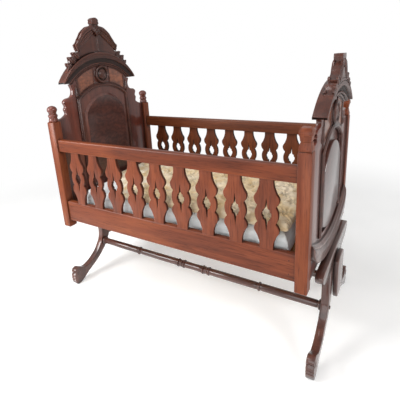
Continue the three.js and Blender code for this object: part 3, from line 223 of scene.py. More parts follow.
def burl(name, pale, mid, dark, eye, gloss=0.2):
    """Burl walnut veneer: swirling clouded figure with small dark eyes under a polished finish."""
    finish, tree = new_finish(name)
    place = put(tree, "TexCoord").outputs["Object"]
    warp = put(tree, "TexNoise", {"Scale": 9, "Detail": 4, "Roughness": 0.55, "Distortion": 1.2},
               {"Vector": place})
    pull = put(tree, "VectorMath", {1: (0.07, 0.07, 0.07)}, {0: warp.outputs["Color"]}, operation="MULTIPLY")
    swirled = put(tree, "VectorMath", feeds={0: place, 1: pull.outputs[0]}, operation="ADD")
    # Clouds of figure about 30 mm across, with curling lines about 5 mm apart in them
    clouds = put(tree, "TexNoise", {"Scale": 1000 / 34, "Detail": 6, "Roughness": 0.65, "Distortion": 0.9},
                 {"Vector": swirled.outputs[0]})
    curls = put(tree, "TexWave", {"Scale": 1000 / 60, "Distortion": 9, "Detail": 4, "Detail Scale": 1.6},
                {"Vector": swirled.outputs[0]}, wave_type="RINGS")
    body = put(tree, "ValToRGB", feeds={"Fac": clouds.outputs["Fac"]})
    colour_steps(body, [(0.32, dark), (0.5, mid), (0.66, pale)])
    lines = put(tree, "ValToRGB", feeds={"Fac": curls.outputs["Fac"]})
    colour_steps(lines, [(0.1, "#c4b8b2"), (0.55, "#ffffff")])
    figured = put(tree, "Mix", {0: 0.55}, {6: body.outputs["Color"], 7: lines.outputs["Color"]},
                  data_type="RGBA", blend_type="MULTIPLY")
    buds = put(tree, "TexVoronoi", {"Scale": 1000 / 26, "Randomness": 1}, {"Vector": swirled.outputs[0]})
    spot = put(tree, "MapRange", {1: 0.06, 2: 0.2, 3: 0.8, 4: 0.0}, {0: buds.outputs["Distance"]})
    eyed = put(tree, "Mix", {7: linear(eye)}, {0: spot.outputs[0], 6: figured.outputs[2]}, data_type="RGBA")
    # The hollows are darkened: painted shade
    shaded_hollows = painted_hollow_shade(tree, eyed.outputs[2], 0.02, 0.35, 0.95, 0.3)
    relief = put(tree, "Bump", {"Strength": 0.12, "Distance": 0.0004}, {"Height": clouds.outputs["Fac"]})
    shader = put(tree, "BsdfPrincipled",
                 {"IOR": 1.5, "Roughness": gloss + 0.14, "Coat Weight": 0.65, "Coat Roughness": gloss},
                 {"Base Color": shaded_hollows, "Normal": relief.outputs[0]})
    put(tree, "OutputMaterial", feeds={"Surface": shader.outputs[0]})
    return finish


panel_burl = burl("burl_walnut_panels", "#5c342c", "#4b2a24", "#3a201c", "#2b1714", gloss=0.14)
frieze_burl = burl("burl_walnut_frieze", "#96593a", "#7a452e", "#5a3122", "#381e15")


def deal(name):
    """Planed deal: pale softwood with wide dark growth rings and no finish, so it is quite matt."""
    finish, tree = new_finish(name)
    place = put(tree, "TexCoord").outputs["Object"]
    # Growth rings about 4 mm apart, drawn out along the slats
    stretched = put(tree, "Mapping", {"Scale": (1000 / 40, 1000 / 900, 1000 / 40)}, {"Vector": place})
    rings = put(tree, "TexWave", {"Scale": 3.2, "Distortion": 3.5, "Detail": 3, "Detail Scale": 1.4},
                {"Vector": stretched.outputs[0]})
    body = put(tree, "ValToRGB", feeds={"Fac": rings.outputs["Fac"]})
    colour_steps(body, [(0.1, "#a9804f"), (0.6, "#cda574"), (0.9, "#dcb98a")])
    knots = put(tree, "TexNoise", {"Scale": 14, "Detail": 4}, {"Vector": stretched.outputs[0]})
    aged = put(tree, "Mix", {0: 0.35}, {6: body.outputs["Color"], 7: knots.outputs["Color"]},
               data_type="RGBA", blend_type="SOFT_LIGHT")
    relief = put(tree, "Bump", {"Strength": 0.3, "Distance": 0.0005}, {"Height": rings.outputs["Fac"]})
    shader = put(tree, "BsdfPrincipled", {"IOR": 1.45, "Roughness": 0.72},
                 {"Base Color": aged.outputs[2], "Normal": relief.outputs[0]})
    put(tree, "OutputMaterial", feeds={"Surface": shader.outputs[0]})
    return finish


bed_deal = deal("planed_deal")


THREAD_PITCH = 2.2  # threads are about 0.5 mm apart; drawn coarser so that the weave shows


def cotton(name, colours, blotch, crumple=9, motif=None, shadow=1.0):
    """Woven cotton: fine crossing threads, soft crumples, no shine, and a printed or woven figure."""
    finish, tree = new_finish(name)
    place = put(tree, "TexCoord").outputs["Object"]
    drift = put(tree, "TexNoise", {"Scale": 1000 / blotch, "Detail": 4, "Roughness": 0.6, "Distortion": 0.8},
                {"Vector": place})
    body = put(tree, "ValToRGB", feeds={"Fac": drift.outputs["Fac"]})
    colour_steps(body, colours)
    colour = body.outputs["Color"]
    if motif:
        # Loose sprays of leaves and petals, about as large as the ones the cloth shows
        size, petal, stem = motif
        warp = put(tree, "TexNoise", {"Scale": 1000 / size, "Detail": 2}, {"Vector": place})
        pull = put(tree, "VectorMath", {1: (0.03, 0.03, 0.03)}, {0: warp.outputs["Color"]},
                   operation="MULTIPLY")
        bent = put(tree, "VectorMath", feeds={0: place, 1: pull.outputs[0]}, operation="ADD")
        sprays = put(tree, "TexVoronoi", {"Scale": 1000 / size}, {"Vector": bent.outputs[0]},
                     feature="SMOOTH_F1")
        petals = put(tree, "TexVoronoi", {"Scale": 2600 / size}, {"Vector": bent.outputs[0]},
                     feature="DISTANCE_TO_EDGE")
        inside = put(tree, "MapRange", {1: 0.38, 2: 0.22, 3: 0.0, 4: 0.75}, {0: sprays.outputs["Distance"]})
        rims = put(tree, "MapRange", {1: 0.02, 2: 0.12, 3: 0.65, 4: 0.0}, {0: petals.outputs["Distance"]})
        tinted = put(tree, "Mix", {7: linear(petal)}, {0: inside.outputs[0], 6: colour}, data_type="RGBA")
        drawn = put(tree, "Math", feeds={0: inside.outputs[0], 1: rims.outputs[0]}, operation="MULTIPLY")
        lined = put(tree, "Mix", {7: linear(stem)}, {0: drawn.outputs[0], 6: tinted.outputs[2]},
                    data_type="RGBA")
        colour = lined.outputs[2]
    # Creases and hollows in the cloth are darkened by as much as the shadow share: painted shade
    shaded = painted_hollow_shade(tree, colour, 0.014, 0.2, 0.9, shadow)
    warp_threads, weft_threads = (
        put(tree, "TexWave", {"Scale": 1000 / THREAD_PITCH / 6.28, "Distortion": 0.4}, {"Vector": place},
            bands_direction=way) for way in "XY"
    )
    weave = put(tree, "Math", feeds={0: warp_threads.outputs["Fac"], 1: weft_threads.outputs["Fac"]},
                operation="MULTIPLY")
    crumples = put(tree, "TexNoise",
                   {"Scale": 1000 / crumple, "Detail": 4, "Roughness": 0.6, "Distortion": 1.4},
                   {"Vector": place})
    coarse = put(tree, "Bump", {"Strength": 0.5, "Distance": 0.004}, {"Height": crumples.outputs["Fac"]})
    relief = put(tree, "Bump", {"Strength": 0.35, "Distance": 0.0005},
                 {"Height": weave.outputs[0], "Normal": coarse.outputs[0]})
    shader = put(tree, "BsdfPrincipled",
                 {"IOR": 1.45, "Roughness": 0.9, "Sheen Weight": 0.25, "Sheen Roughness": 0.5},
                 {"Base Color": shaded, "Normal": relief.outputs[0]})
    put(tree, "OutputMaterial", feeds={"Surface": shader.outputs[0]})
    return finish


mattress_cotton = cotton("plain_cotton_mattress", [(0.3, "#eef6f6"), (0.5, "#f6fbfb"), (0.7, "#fcffff")], 70)
quilt_cotton = cotton(
    "brocaded_cotton_quilt",
    [(0.3, "#dcb880"), (0.42, "#e6c998"), (0.54, "#eed9b4"), (0.68, "#f1e0c6")],
    85, 16, (58, "#f2e0c0", "#cba468"), 0.3,
)
coverlet_cotton = cotton(
    "printed_cotton_coverlet",
    [(0.3, "#d9b67c"), (0.42, "#ead0a2"), (0.54, "#f4e4c8"), (0.68, "#f6ecdc")],
    70, 16, (46, "#f6ecd8", "#cfab70"), 0.3,
)


# Shapes


def evened(mesh, finish, sharp, merge=0):
    """Turns all faces of a mesh outwards, smooths all but its sharp edges and gives it a finish."""
    shell = bmesh.new()
    shell.from_mesh(mesh)
    if merge:
        bmesh.ops.remove_doubles(shell, verts=shell.verts, dist=merge)
    bmesh.ops.recalc_face_normals(shell, faces=shell.faces)
    shell.to_mesh(mesh)
    shell.free()
    mesh.materials.clear()
    mesh.materials.append(finish)
    mesh.shade_smooth()
    mesh.set_sharp_from_angle(angle=math.radians(sharp))


def finished(name, points, faces, finish, sharp=35):
    """A mesh object from points in millimetres, smooth but for its sharp edges."""
    mesh = bpy.data.meshes.new(name)
    mesh.from_pydata([(x * MM, y * MM, z * MM) for x, y, z in points], [], faces)
    mesh.validate()
    evened(mesh, finish, sharp)
    return placed(name, mesh)


def loft(name, rings, finish, capped=True, sharp=35):
    """Rings of points joined one to the next, closed at the ends or on the first ring."""
    count = len(rings[0])
    spans = len(rings) - 1 if capped else len(rings)
    faces = []
    for k in range(spans):
        here, there = k * count, ((k + 1) % len(rings)) * count
        for i in range(count):
            j = (i + 1) % count
            faces.append((here + i, here + j, there + j, there + i))
    if capped:
        last = (len(rings) - 1) * count
        faces += [tuple(range(count))[::-1], tuple(range(last, last + count))]
    return finished(name, [point for ring in rings for point in ring], faces, finish, sharp)


def turned(name, profile, centre, axis, finish, steps=40):
    """A turned piece: pairs of radius and place along an axis through a centre."""
    frames = {
        "x": lambda r, a, t: (a, r * math.cos(t), r * math.sin(t)),
        "z": lambda r, a, t: (r * math.cos(t), r * math.sin(t), a),
    }
    rings = []
    for radius, along in profile:
        ring = [frames[axis](max(radius, 0.02), along, 2 * math.pi * i / steps) for i in range(steps)]
        rings.append([tuple(c + p for c, p in zip(centre, point)) for point in ring])
    return loft(name, rings, finish, sharp=38)


# For a drawing in each plane: the axis that it is thick along, and how its points turn into places
PLANES = {
    "yz": (0, lambda a, b, c: (c, a, b)),
    "xz": (1, lambda a, b, c: (a, c, b)),
}


def slab(name, outline, plane, low, high, finish, bevel=1.5, holes=(), edge=None, rounds=2):
    """A board cut to an outline, with holes, its edges eased by a small round."""
    curve = bpy.data.curves.new(name, "CURVE")
    curve.dimensions = "2D"
    curve.fill_mode = "BOTH"
    for ring in (outline, *holes):
        spline = curve.splines.new("POLY")
        spline.points.add(len(ring) - 1)
        for point, (a, b) in zip(spline.points, ring):
            point.co = (a, b, 0, 1)
        spline.use_cyclic_u = True
    curve.extrude = (high - low) / 2 - bevel
    curve.bevel_depth = bevel
    curve.bevel_resolution = rounds
    curve.offset = -bevel
    drawn = bpy.data.objects.new(name + ".drawing", curve)
    mesh = bpy.data.meshes.new_from_object(drawn)
    bpy.data.objects.remove(drawn)
    middle = (low + high) / 2
    thick, upright = PLANES[plane]
    for vertex in mesh.vertices:
        a, b, c = vertex.co
        vertex.co = Vector(upright(a, b, c + middle)) * MM
    evened(mesh, finish, 32, merge=0.02 * MM)
    if edge:
        mesh.materials.append(edge)
        for face in mesh.polygons:
            face.material_index = 1 if abs(face.normal[thick]) < 0.4 else 0
    return placed(name, mesh)


def joined(name, pieces):
    """Several made parts of one piece, as one object."""
    shell = bmesh.new()
    mesh = bpy.data.meshes.new(name)
    for piece in pieces:
        for finish in piece.data.materials:
            if finish.name not in [m.name for m in mesh.materials]:
                mesh.materials.append(finish)
    names = [m.name for m in mesh.materials]
    for piece in pieces:
        own = [names.index(m.name) for m in piece.data.materials]
        before = len(shell.faces)
        shell.from_mesh(piece.data)
        shell.faces.ensure_lookup_table()
        for face in shell.faces[before:]:
            face.material_index = own[min(face.material_index, len(own) - 1)]
    shell.to_mesh(mesh)
    shell.free()
    for piece in pieces:
        bpy.data.objects.remove(piece)
    return placed(name, mesh)


def arc(centre, radius, start, end, count, below=False):
    """Points on a circle round (0, centre), from one place across to another."""
    first, last = math.asin(start / radius), math.asin(end / radius)
    points = []
    for i in range(count + 1):
        angle = first + (last - first) * i / count
        rise = radius * math.cos(angle)
        points.append((radius * math.sin(angle), centre - rise if below else centre + rise))
    return points


def arc_over(half_chord, rise):
    """The radius of an arc, from half its chord and how far it rises over it."""
    return (half_chord * half_chord + rise * rise) / (2 * rise)


def across_at(radius, drop):
    """The other side of a right triangle: how far a circle lies from its centre line at a drop."""
    return math.sqrt(radius * radius - drop * drop)


def smooth(points, count):
    """A smooth curve through points, cut into equal steps between them."""
    result = []
    spans = len(points) - 1
    for step in range(count + 1):
        place = spans * step / count
        k = min(int(place), spans - 1)
        t = place - k
        p0, p1 = points[max(k - 1, 0)], points[k]
        p2, p3 = points[k + 1], points[min(k + 2, spans)]
        point = []
        for a, b, c, d in zip(p0, p1, p2, p3):
            v0, v1 = (c - a) / 2, (d - b) / 2
            cubic, square = 2 * b - 2 * c + v0 + v1, 3 * c - 3 * b - 2 * v0 - v1
            point.append(cubic * t ** 3 + square * t * t + v0 * t + b)
        result.append(tuple(point))
    return result


def mirrored(points):
    """The other half of a symmetric drawing, in the order that closes it."""
    return [(-a, b) for a, b in reversed(points)]


def outline_ring(points):
    """The same outline without repeated points."""
    kept = []
    for point in points:
        if not kept or math.dist(kept[-1], point) > 0.05:
            kept.append(point)
    if math.dist(kept[0], kept[-1]) < 0.05:
        kept.pop()
    return kept


def stand(piece, body):
    """Puts a finished piece on its body, in place of the CAD node that its own name starts with."""
    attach(piece, body)
    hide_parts(piece.name.split(".")[0])


# Sizes of the CAD model
HALF_LENGTH = 500
HALF_WIDTH = 284
POST_SIDE = 37
POST_LOW = 310
ENDS = {
    "head": {
        "side": -1, "post_top": 769, "tip": 908, "arch_top": 880,
        "lower_radius": 286.8, "lower_centre": 718.2, "upper_radius": 258.5, "upper_centre": 771.5,
        "ear": 139, "drop_low": 845, "inner": 12, "outer": 12, "crest_half": 186, "crest_rise": 145,
        "crest_centre": 504, "field_top": 850, "cabochon": 934.5,
    },
    "foot": {
        "side": 1, "post_top": 738, "tip": 806, "arch_top": 739,
        "lower_radius": 365.2, "lower_centre": 510.8, "upper_radius": 311.75, "upper_centre": 587.25,
        "ear": 68, "drop_low": 723, "inner": 2, "outer": 23, "crest_half": 150, "crest_rise": 74,
        "crest_centre": 521, "field_top": 700, "cabochon": 793.5,
    },
}
SIDES = {"front": -1, "rear": 1}
BOARD_IN, BOARD_OUT = 496, 512
BOARD_HALF = 265.2
BOARD_FOOT, BOARD_CORNER = 322, 372
OPENING_HALF = 140
ROCKING_HEIGHT = 892.3
ROCKER_RADIUS = 560
SILL_RADIUS = 490
OPENING_ARCH_RADIUS = arc_over(OPENING_HALF, 49)

# Posts


def rounded_square(centre_x, centre_y, height, half, corner):
    """A level square ring with its corners rounded in three steps."""
    ring = []
    for quarter in range(4):
        mid_x = centre_x + (half - corner) * (1 if quarter in (0, 3) else -1)
        mid_y = centre_y + (half - corner) * (1 if quarter < 2 else -1)
        for i in range(4):
            angle = math.pi / 2 * (quarter + i / 3)
            ring.append((mid_x + corner * math.cos(angle), mid_y + corner * math.sin(angle), height))
    return ring


POST_EASE = 2.2
for end_name, end in ENDS.items():
    for side_name, across in SIDES.items():
        x, y, half = end["side"] * HALF_LENGTH, across * HALF_WIDTH, POST_SIDE / 2
        levels = [(POST_LOW, 5), (POST_LOW + 2, 2.2), (POST_LOW + 5, 0), (end["post_top"] - 5, 0),
                  (end["post_top"] - 2, 1.6), (end["post_top"], 5)]
        rings = [rounded_square(x, y, z, half - inset, POST_EASE) for z, inset in levels]
        post = loft(f"post_{end_name}_{side_name}.shaft", rings, post_walnut)
        stand(post, "cradle")

# Ball finials on the head posts: a neck with a groove and a collar under a flattened ball
BALL_RADIUS, BALL_HALF, FINIAL_HEIGHT = 19.5, 16, 62
BALL_STEPS = 14
NECK_TOP = 0.79  # where the ball leaves its neck, as a share of the ball's radius
NECK_SHARES = [
    (0.92, 0), (0.93, 0.03), (0.93, 0.12), (0.88, 0.15), (0.83, 0.17), (0.81, 0.21), (0.83, 0.26),
    (0.91, 0.29), (0.94, 0.33), (0.94, 0.38), (0.9, 0.42), (0.8, 0.45), (0.74, 0.465), (0.76, 0.49),
]
for side_name, across in SIDES.items():
    profile = [(0.02, 0)] + [(r * BALL_RADIUS, h * FINIAL_HEIGHT) for r, h in NECK_SHARES]
    start = math.asin(NECK_TOP)
    for i in range(BALL_STEPS + 1):
        angle = (math.pi - start) * (1 - i / BALL_STEPS)
        height = FINIAL_HEIGHT - BALL_HALF + BALL_HALF * math.cos(angle)
        profile.append((BALL_RADIUS * math.sin(angle), height))
    foot = (-HALF_LENGTH, across * HALF_WIDTH, ENDS["head"]["post_top"] + 0.2)
    ball = turned(f"finial_head_{side_name}.ball", profile, foot, "z", finial_walnut)
    stand(ball, "cradle")

# Square caps on the foot posts: a block on a hollowed neck that flares down to the post
CAP_HALF, CAP_HEIGHT = 17.4, 62
CAP_SHARES = [
    (0.97, 0), (1, 0.025), (1, 0.06), (0.94, 0.14), (0.86, 0.24), (0.81, 0.34), (0.78, 0.375),
    (0.72, 0.385), (0.72, 0.41), (0.8, 0.425), (0.82, 0.48), (0.86, 0.56), (0.9, 0.63), (0.92, 0.65),
    (0.92, 0.665), (1, 0.68), (1, 0.82), (0.97, 0.85), (0.76, 0.985), (0.72, 1),
]
for side_name, across in SIDES.items():
    rings = [
        rounded_square(HALF_LENGTH, across * HALF_WIDTH, ENDS["foot"]["post_top"] + 0.2 + h * CAP_HEIGHT,
                       a * CAP_HALF, 1.3)
        for a, h in CAP_SHARES
    ]
    cap = loft(f"finial_foot_{side_name}.cap", rings, post_walnut, sharp=28)
    stand(cap, "cradle")

# Rails
RAIL_FACE, RAIL_BACK = 296.5, 272.5
RAIL_HALF = 481.2
RAIL_STEPS = 24
RAIL_EASE, RAIL_LOWER_EASE = 6, 1.5
LEDGE_LOW, LEDGE_TOP = 356, 372
LEDGE_BACK = RAIL_BACK - 13


def rail_ring(x, across, low, high, ledge):
    """A rail's section, with both upper edges rounded and a ledge on its back if it has one."""
    ease, lower_ease = RAIL_EASE, RAIL_LOWER_EASE
    turns = [(math.sin(t * math.pi / 8), math.cos(t * math.pi / 8)) for t in range(5)]
    ring = [(RAIL_FACE, low + lower_ease)]
    ring += [(RAIL_FACE - ease + ease * cos, high - ease + ease * sin) for sin, cos in turns]
    ring += [(RAIL_BACK + ease - ease * sin, high - ease + ease * cos) for sin, cos in turns]
    if ledge:
        ring += [(RAIL_BACK, LEDGE_TOP), (LEDGE_BACK + 1, LEDGE_TOP), (LEDGE_BACK, LEDGE_TOP - 1),
                 (LEDGE_BACK, LEDGE_LOW + 1), (LEDGE_BACK + 1, LEDGE_LOW), (RAIL_BACK, LEDGE_LOW)]
    ring += [(RAIL_BACK, low + lower_ease), (RAIL_BACK + lower_ease, low), (RAIL_FACE - lower_ease, low)]
    return [(x, across * y, z) for y, z in ring]


# Each rail's lower and upper edge, with the heights of the pegs through its tenons
RAILS = {"top": (648, 696, (663,)), "bottom": (344, 431, (365, 410))}
PEG_PLACE = 463.3
PEG_PROFILE = [(0.02, -3), (2.6, -3), (2.6, 0.3), (2, 0.7), (0.02, 0.8)]
for side_name, across in SIDES.items():
    for rail_name, (low, high, peg_heights) in RAILS.items():
        stations = [RAIL_HALF * (2 * i / RAIL_STEPS - 1) for i in range(RAIL_STEPS + 1)]
        rings = [rail_ring(x, across, low, high, rail_name == "bottom") for x in stations]
        # The rear rails take the darker copy of the walnut: painted shade
        beam = loft("beam", rings, rail_walnut if across < 0 else rear_rail_walnut)
        pegs = []
        turn_out = Matrix.Rotation(across * math.pi / 2, 4, "Z")
        for x in (-PEG_PLACE, PEG_PLACE):
            for height in peg_heights:
                peg = turned("peg", PEG_PROFILE, (0, 0, 0), "x", fret_walnut, steps=14)
                place = Vector((x, across * RAIL_FACE, height)) * MM
                peg.data.transform(Matrix.Translation(place) @ turn_out)
                pegs.append(peg)
        stand(joined(f"rail_{rail_name}_{side_name}.pegged", [beam, *pegs]), "cradle")

# Splats
SPLAT_COUNT, SPLAT_THICKNESS = 9, 12
SPLAT_HALF, SPLAT_MID, SPLAT_HALF_HEIGHT = 38, 539.5, 108.5
SPLAT_NECK = 0.55 * SPLAT_HALF
SPLAT_END = 114  # from the middle of a splat to its end, inside the rail
SLOT_HALF, SLOT_HALF_HEIGHT = 15, 53
SHOULDER_SHARES = [(0.55, 1), (0.57, 0.82), (0.76, 0.63), (1, 0.48), (0.94, 0.34), (0.73, 0.24)]
BULGE_SHARES = [(0.73, 0.24), (0.88, 0.13), (0.93, 0), (0.88, -0.13), (0.73, -0.24)]
SLOT_SHARES = [(0, 1), (0.13, 0.66), (0.27, 0.36), (0.62, 0.31), (0.74, 0.24), (0.72, 0.17), (0.98, 0.09)]
SPLAT_PITCH, SPLAT_CENTRE = 98.7, 288.5


def splat_outline(x):
    """The sawn edge of a splat and of the slot through it, at a place along the rail."""

    def scale(shares):
        return [(a * SPLAT_HALF, b * SPLAT_HALF_HEIGHT) for a, b in shares]

    shoulder = smooth(scale(SHOULDER_SHARES), 20)
    bulge = smooth(scale(BULGE_SHARES), 12)[1:-1]
    half = [(SPLAT_NECK, SPLAT_END), *shoulder, *bulge, *[(a, -b) for a, b in reversed(shoulder)],
            (SPLAT_NECK, -SPLAT_END)]
    outline = outline_ring([*half, *mirrored(half)])
    quarter = smooth([(a * SLOT_HALF, b * SLOT_HALF_HEIGHT) for a, b in SLOT_SHARES], 10)
    side_half = outline_ring([*quarter, *[(a, -b) for a, b in reversed(quarter)]])
    slot = outline_ring([*side_half, *mirrored(side_half)[1:-1]])
    return [(x + a, SPLAT_MID + b) for a, b in outline], [(x + a, SPLAT_MID + b) for a, b in slot]


# The rear splats take darker copies of the walnut: painted shade
SPLAT_FINISHES = {"front": (splat_walnut, fret_walnut), "rear": (rear_splat_walnut, shaded_rear_fret_walnut)}
for side_name, across in SIDES.items():
    face_finish, edge_finish = SPLAT_FINISHES[side_name]
    faces = sorted(across * (SPLAT_CENTRE + depth) for depth in (-SPLAT_THICKNESS / 2, SPLAT_THICKNESS / 2))
    for i in range(SPLAT_COUNT):
        outline, slot = splat_outline((i - SPLAT_COUNT // 2) * SPLAT_PITCH)
        splat = slab(f"splat_{side_name}_{i + 1}.fretted", outline, "xz", *faces, face_finish, bevel=0.9,
                     holes=[slot], edge=edge_finish)
        stand(splat, "cradle")

# End boards
EAR_SHARES = [
    (1.13, 0.04), (1.09, 0.07), (1.033, 0.14), (1.052, 0.27), (1.023, 0.35), (1.052, 0.48),
    (0.99, 0.57), (0.883, 0.6), (0.83, 0.67), (0.808, 0.8), (0.836, 0.92), (0.85, 0.97),
]
EAR_HALF = 213
CORNICE_HALF = 215
DROP_SHARES = [
    (0.02, 0), (0.3, 0.01), (0.55, 0.04), (0.78, 0.08), (0.94, 0.15), (1, 0.24), (0.97, 0.34), (0.86, 0.46),
    (0.7, 0.58), (0.57, 0.7), (0.47, 0.84), (0.42, 0.93), (0.5, 0.95), (0.5, 0.99), (0.02, 1),
]


ARCH_STEPS, SILL_STEPS = 36, 24


def opening_outline(end, margin):
    """The arched opening of an end board, grown by a margin: the arch first, then the sill."""
    half = OPENING_HALF + margin
    arch = arc(end["arch_top"] - OPENING_ARCH_RADIUS, OPENING_ARCH_RADIUS + margin, half, -half, ARCH_STEPS)
    sill = arc(ROCKING_HEIGHT, SILL_RADIUS + margin, -half, half, SILL_STEPS, below=True)
    return [*arch, *sill]


CORNICE_DEPTH = 34  # from the lip of a cornice down to the edge of its board
BOARD_CUT = 25


def board_outline(end):
    """An end board: scrolled ears up to the cornice's seat, and a straight foot with cut corners."""
    seat_radius = end["lower_radius"] - CORNICE_DEPTH - 0.3
    seat_half = across_at(seat_radius, end["tip"] - 0.3 - end["lower_centre"])
    ear = smooth([(a * EAR_HALF, end["post_top"] + b * end["ear"]) for a, b in EAR_SHARES], 66)
    half = [(BOARD_HALF, end["post_top"] + 0.3), *ear]
    seat = arc(end["lower_centre"], seat_radius, seat_half, -seat_half, 48)
    # Below the panel the board runs down straight behind the rocker
    low = [(-BOARD_HALF, BOARD_CORNER), (BOARD_CUT - BOARD_HALF, BOARD_FOOT),
           (BOARD_HALF - BOARD_CUT, BOARD_FOOT), (BOARD_HALF, BOARD_CORNER)]
    return outline_ring([*half, *seat, *mirrored(half), *low])


# The moulded ring round a cabochon, as radius and height over the board's face
RING_PROFILE = [
    (28, -1), (28, 5), (29.2, 9.4), (31.6, 12.2), (34, 12.9), (36.4, 12.2), (38.4, 9.4), (39.4, 5.6),
    (39.6, 2.2), (41.2, 1.5), (41.8, -1),
]
ROUND_STEPS = 56


def raised_ring(end, face, outwards):
    """The ring round a cabochon, on one face of the board."""
    rings = []
    for i in range(ROUND_STEPS):
        t = 2 * math.pi * i / ROUND_STEPS
        rings.append([(face + outwards * proud, r * math.cos(t), end["cabochon"] + r * math.sin(t))
                      for r, proud in RING_PROFILE])
    return loft("ring", rings, moulded_walnut, capped=False)


FRIEZE_STEPS = 28
ARCH_MARGIN, BEAD_MARGIN = 19, 1  # from the frieze to the opening and to the cornice
# How far the frieze's border and its veneer reach across, on each side of the cabochon
BORDER_SPAN, VENEER_SPAN = (46, 147), (50.5, 138)
BORDER_WIDTH = 4


def frieze_field(end, across, first, last, inset):
    """One half of the frieze, between the arch's moulding below and the cornice's bead above."""
    top_radius = end["lower_radius"] - CORNICE_DEPTH - BEAD_MARGIN
    low_radius = OPENING_ARCH_RADIUS + ARCH_MARGIN
    low_centre = end["arch_top"] - OPENING_ARCH_RADIUS
    places = [first + (last - first) * k / FRIEZE_STEPS for k in range(FRIEZE_STEPS + 1)]
    upper = [(across * y, end["lower_centre"] + across_at(top_radius, y) - inset) for y in places]
    lower = [(across * y, low_centre + across_at(low_radius, y) + inset) for y in places]
    return outline_ring([*upper, *reversed(lower)])


DROP_PLACE, DROP_RADIUS, DROP_HEIGHT = 154, 8, 53


for end_name, end in ENDS.items():
    side = end["side"]
    faces = sorted((side * BOARD_IN, side * BOARD_OUT))
    board = slab(f"{end_name}_board.sheet", board_outline(end), "yz", *faces, board_walnut, bevel=1.4,
                 holes=[opening_outline(end, 0)])
    extras = []
    for face, outwards in ((side * BOARD_IN, -side), (side * BOARD_OUT, side)):
        extras.append(raised_ring(end, face, outwards))
        for across in (-1, 1):
            profile = [(r * DROP_RADIUS, h * DROP_HEIGHT) for r, h in DROP_SHARES]
            extras.append(turned("drop", profile, (face, across * DROP_PLACE, end["drop_low"]), "z",
                                 moulded_walnut, steps=24))
        # The frieze is veneered inside a raised border
        for across in (-1, 1):
            border = frieze_field(end, across, *BORDER_SPAN, 0)
            field = frieze_field(end, across, *VENEER_SPAN, BORDER_WIDTH)
            sheet = sorted((face - outwards * 0.5, face + outwards * 0.7))
            extras.append(slab("veneer", field, "yz", *sheet, frieze_burl, bevel=0.3))
            rim = sorted((face - outwards * 0.5, face + outwards * 2.8))
            extras.append(slab("border", border, "yz", *rim, moulded_walnut, bevel=0.8, holes=[field]))
    whole = joined(f"{end_name}_board.carved", [board, *extras])
    stand(whole, "cradle")

# Cabochons: a domed boss in a groove
CABOCHON_SHARES = [
    (0, 1), (0.2, 0.985), (0.34, 0.94), (0.42, 0.88), (0.46, 0.79), (0.49, 0.78), (0.52, 0.84), (0.58, 0.86),
    (0.66, 0.83), (0.74, 0.77), (0.81, 0.66), (0.86, 0.52), (0.88, 0.4), (0.91, 0.33), (0.95, 0.33), (1, 0.4),
]
CABOCHON_RADIUS, CABOCHON_RIM, CABOCHON_DOME = 27.5, 8, 12
BOARD_MID = (BOARD_IN + BOARD_OUT) / 2
for end_name, end in ENDS.items():
    face = [(r * CABOCHON_RADIUS, CABOCHON_RIM + h * CABOCHON_DOME) for r, h in CABOCHON_SHARES]
    profile = [(r, -h) for r, h in face] + list(reversed(face))
    centre = (end["side"] * BOARD_MID, 0, end["cabochon"])
    boss = turned(f"{end_name}_cabochon.boss", profile, centre, "x", moulded_walnut, steps=ROUND_STEPS)
    stand(boss, "cradle")

# Panels
FIELD_HALF, FIELD_SHOULDER = 127, 5
PLATE_STRIPS = range(1, 9)


def field_outline(end, margin):
    """The raised field of a panel, grown by a margin, with as many points as its plate."""
    half = FIELD_HALF + margin
    arch_half = half - FIELD_SHOULDER
    arch_radius = arc_over(FIELD_HALF - FIELD_SHOULDER, 70)
    sill_radius = arc_over(FIELD_HALF, 34)
    sill_centre = ROCKING_HEIGHT - SILL_RADIUS + 12 + sill_radius
    arch = arc(end["field_top"] - arch_radius, arch_radius + margin, arch_half, -arch_half, ARCH_STEPS)
    springing = arch[0][1]
    sill = arc(sill_centre, sill_radius + margin, -half, half, SILL_STEPS, below=True)
    return [*arch, (-half, springing), *sill, (half, springing)]


def plate_outline(end, margin):
    """The panel's flat rim, which runs in the groove of the opening."""
    ring = opening_outline(end, margin)
    half = OPENING_HALF + margin
    arch, sill = ring[:ARCH_STEPS + 1], ring[ARCH_STEPS + 1:]
    return [*arch, (-half, (arch[-1][1] + sill[0][1]) / 2), *sill, (half, (arch[0][1] + sill[-1][1]) / 2)]


for end_name, end in ENDS.items():
    levels = [
        (field_outline(end, -9.6), 487.6), (field_outline(end, -9), 487.4), (field_outline(end, -1.4), 494.4),
        (field_outline(end, -0.4), 495.2), (field_outline(end, 0), 496.3), (plate_outline(end, 9.7), 496.3),
        (plate_outline(end, 9.7), 503.7), (field_outline(end, 0), 503.7), (field_outline(end, 0), 515.4),
        (field_outline(end, -0.5), 517), (field_outline(end, -1.6), 518.2), (field_outline(end, -3.2), 518.7),
    ]
    rings = [[(end["side"] * x, y, z) for y, z in outline] for outline, x in levels]
    panel = loft(f"{end_name}_panel.fielded", rings, panel_burl, sharp=24)
    # Only the field is veneered; its sloping edge and the plate round it are plain walnut
    panel.data.materials.append(plate_walnut)
    for face in panel.data.polygons:
        strip = face.index // len(rings[0])
        face.material_index = 1 if strip in PLATE_STRIPS else 0
    stand(panel, "cradle")

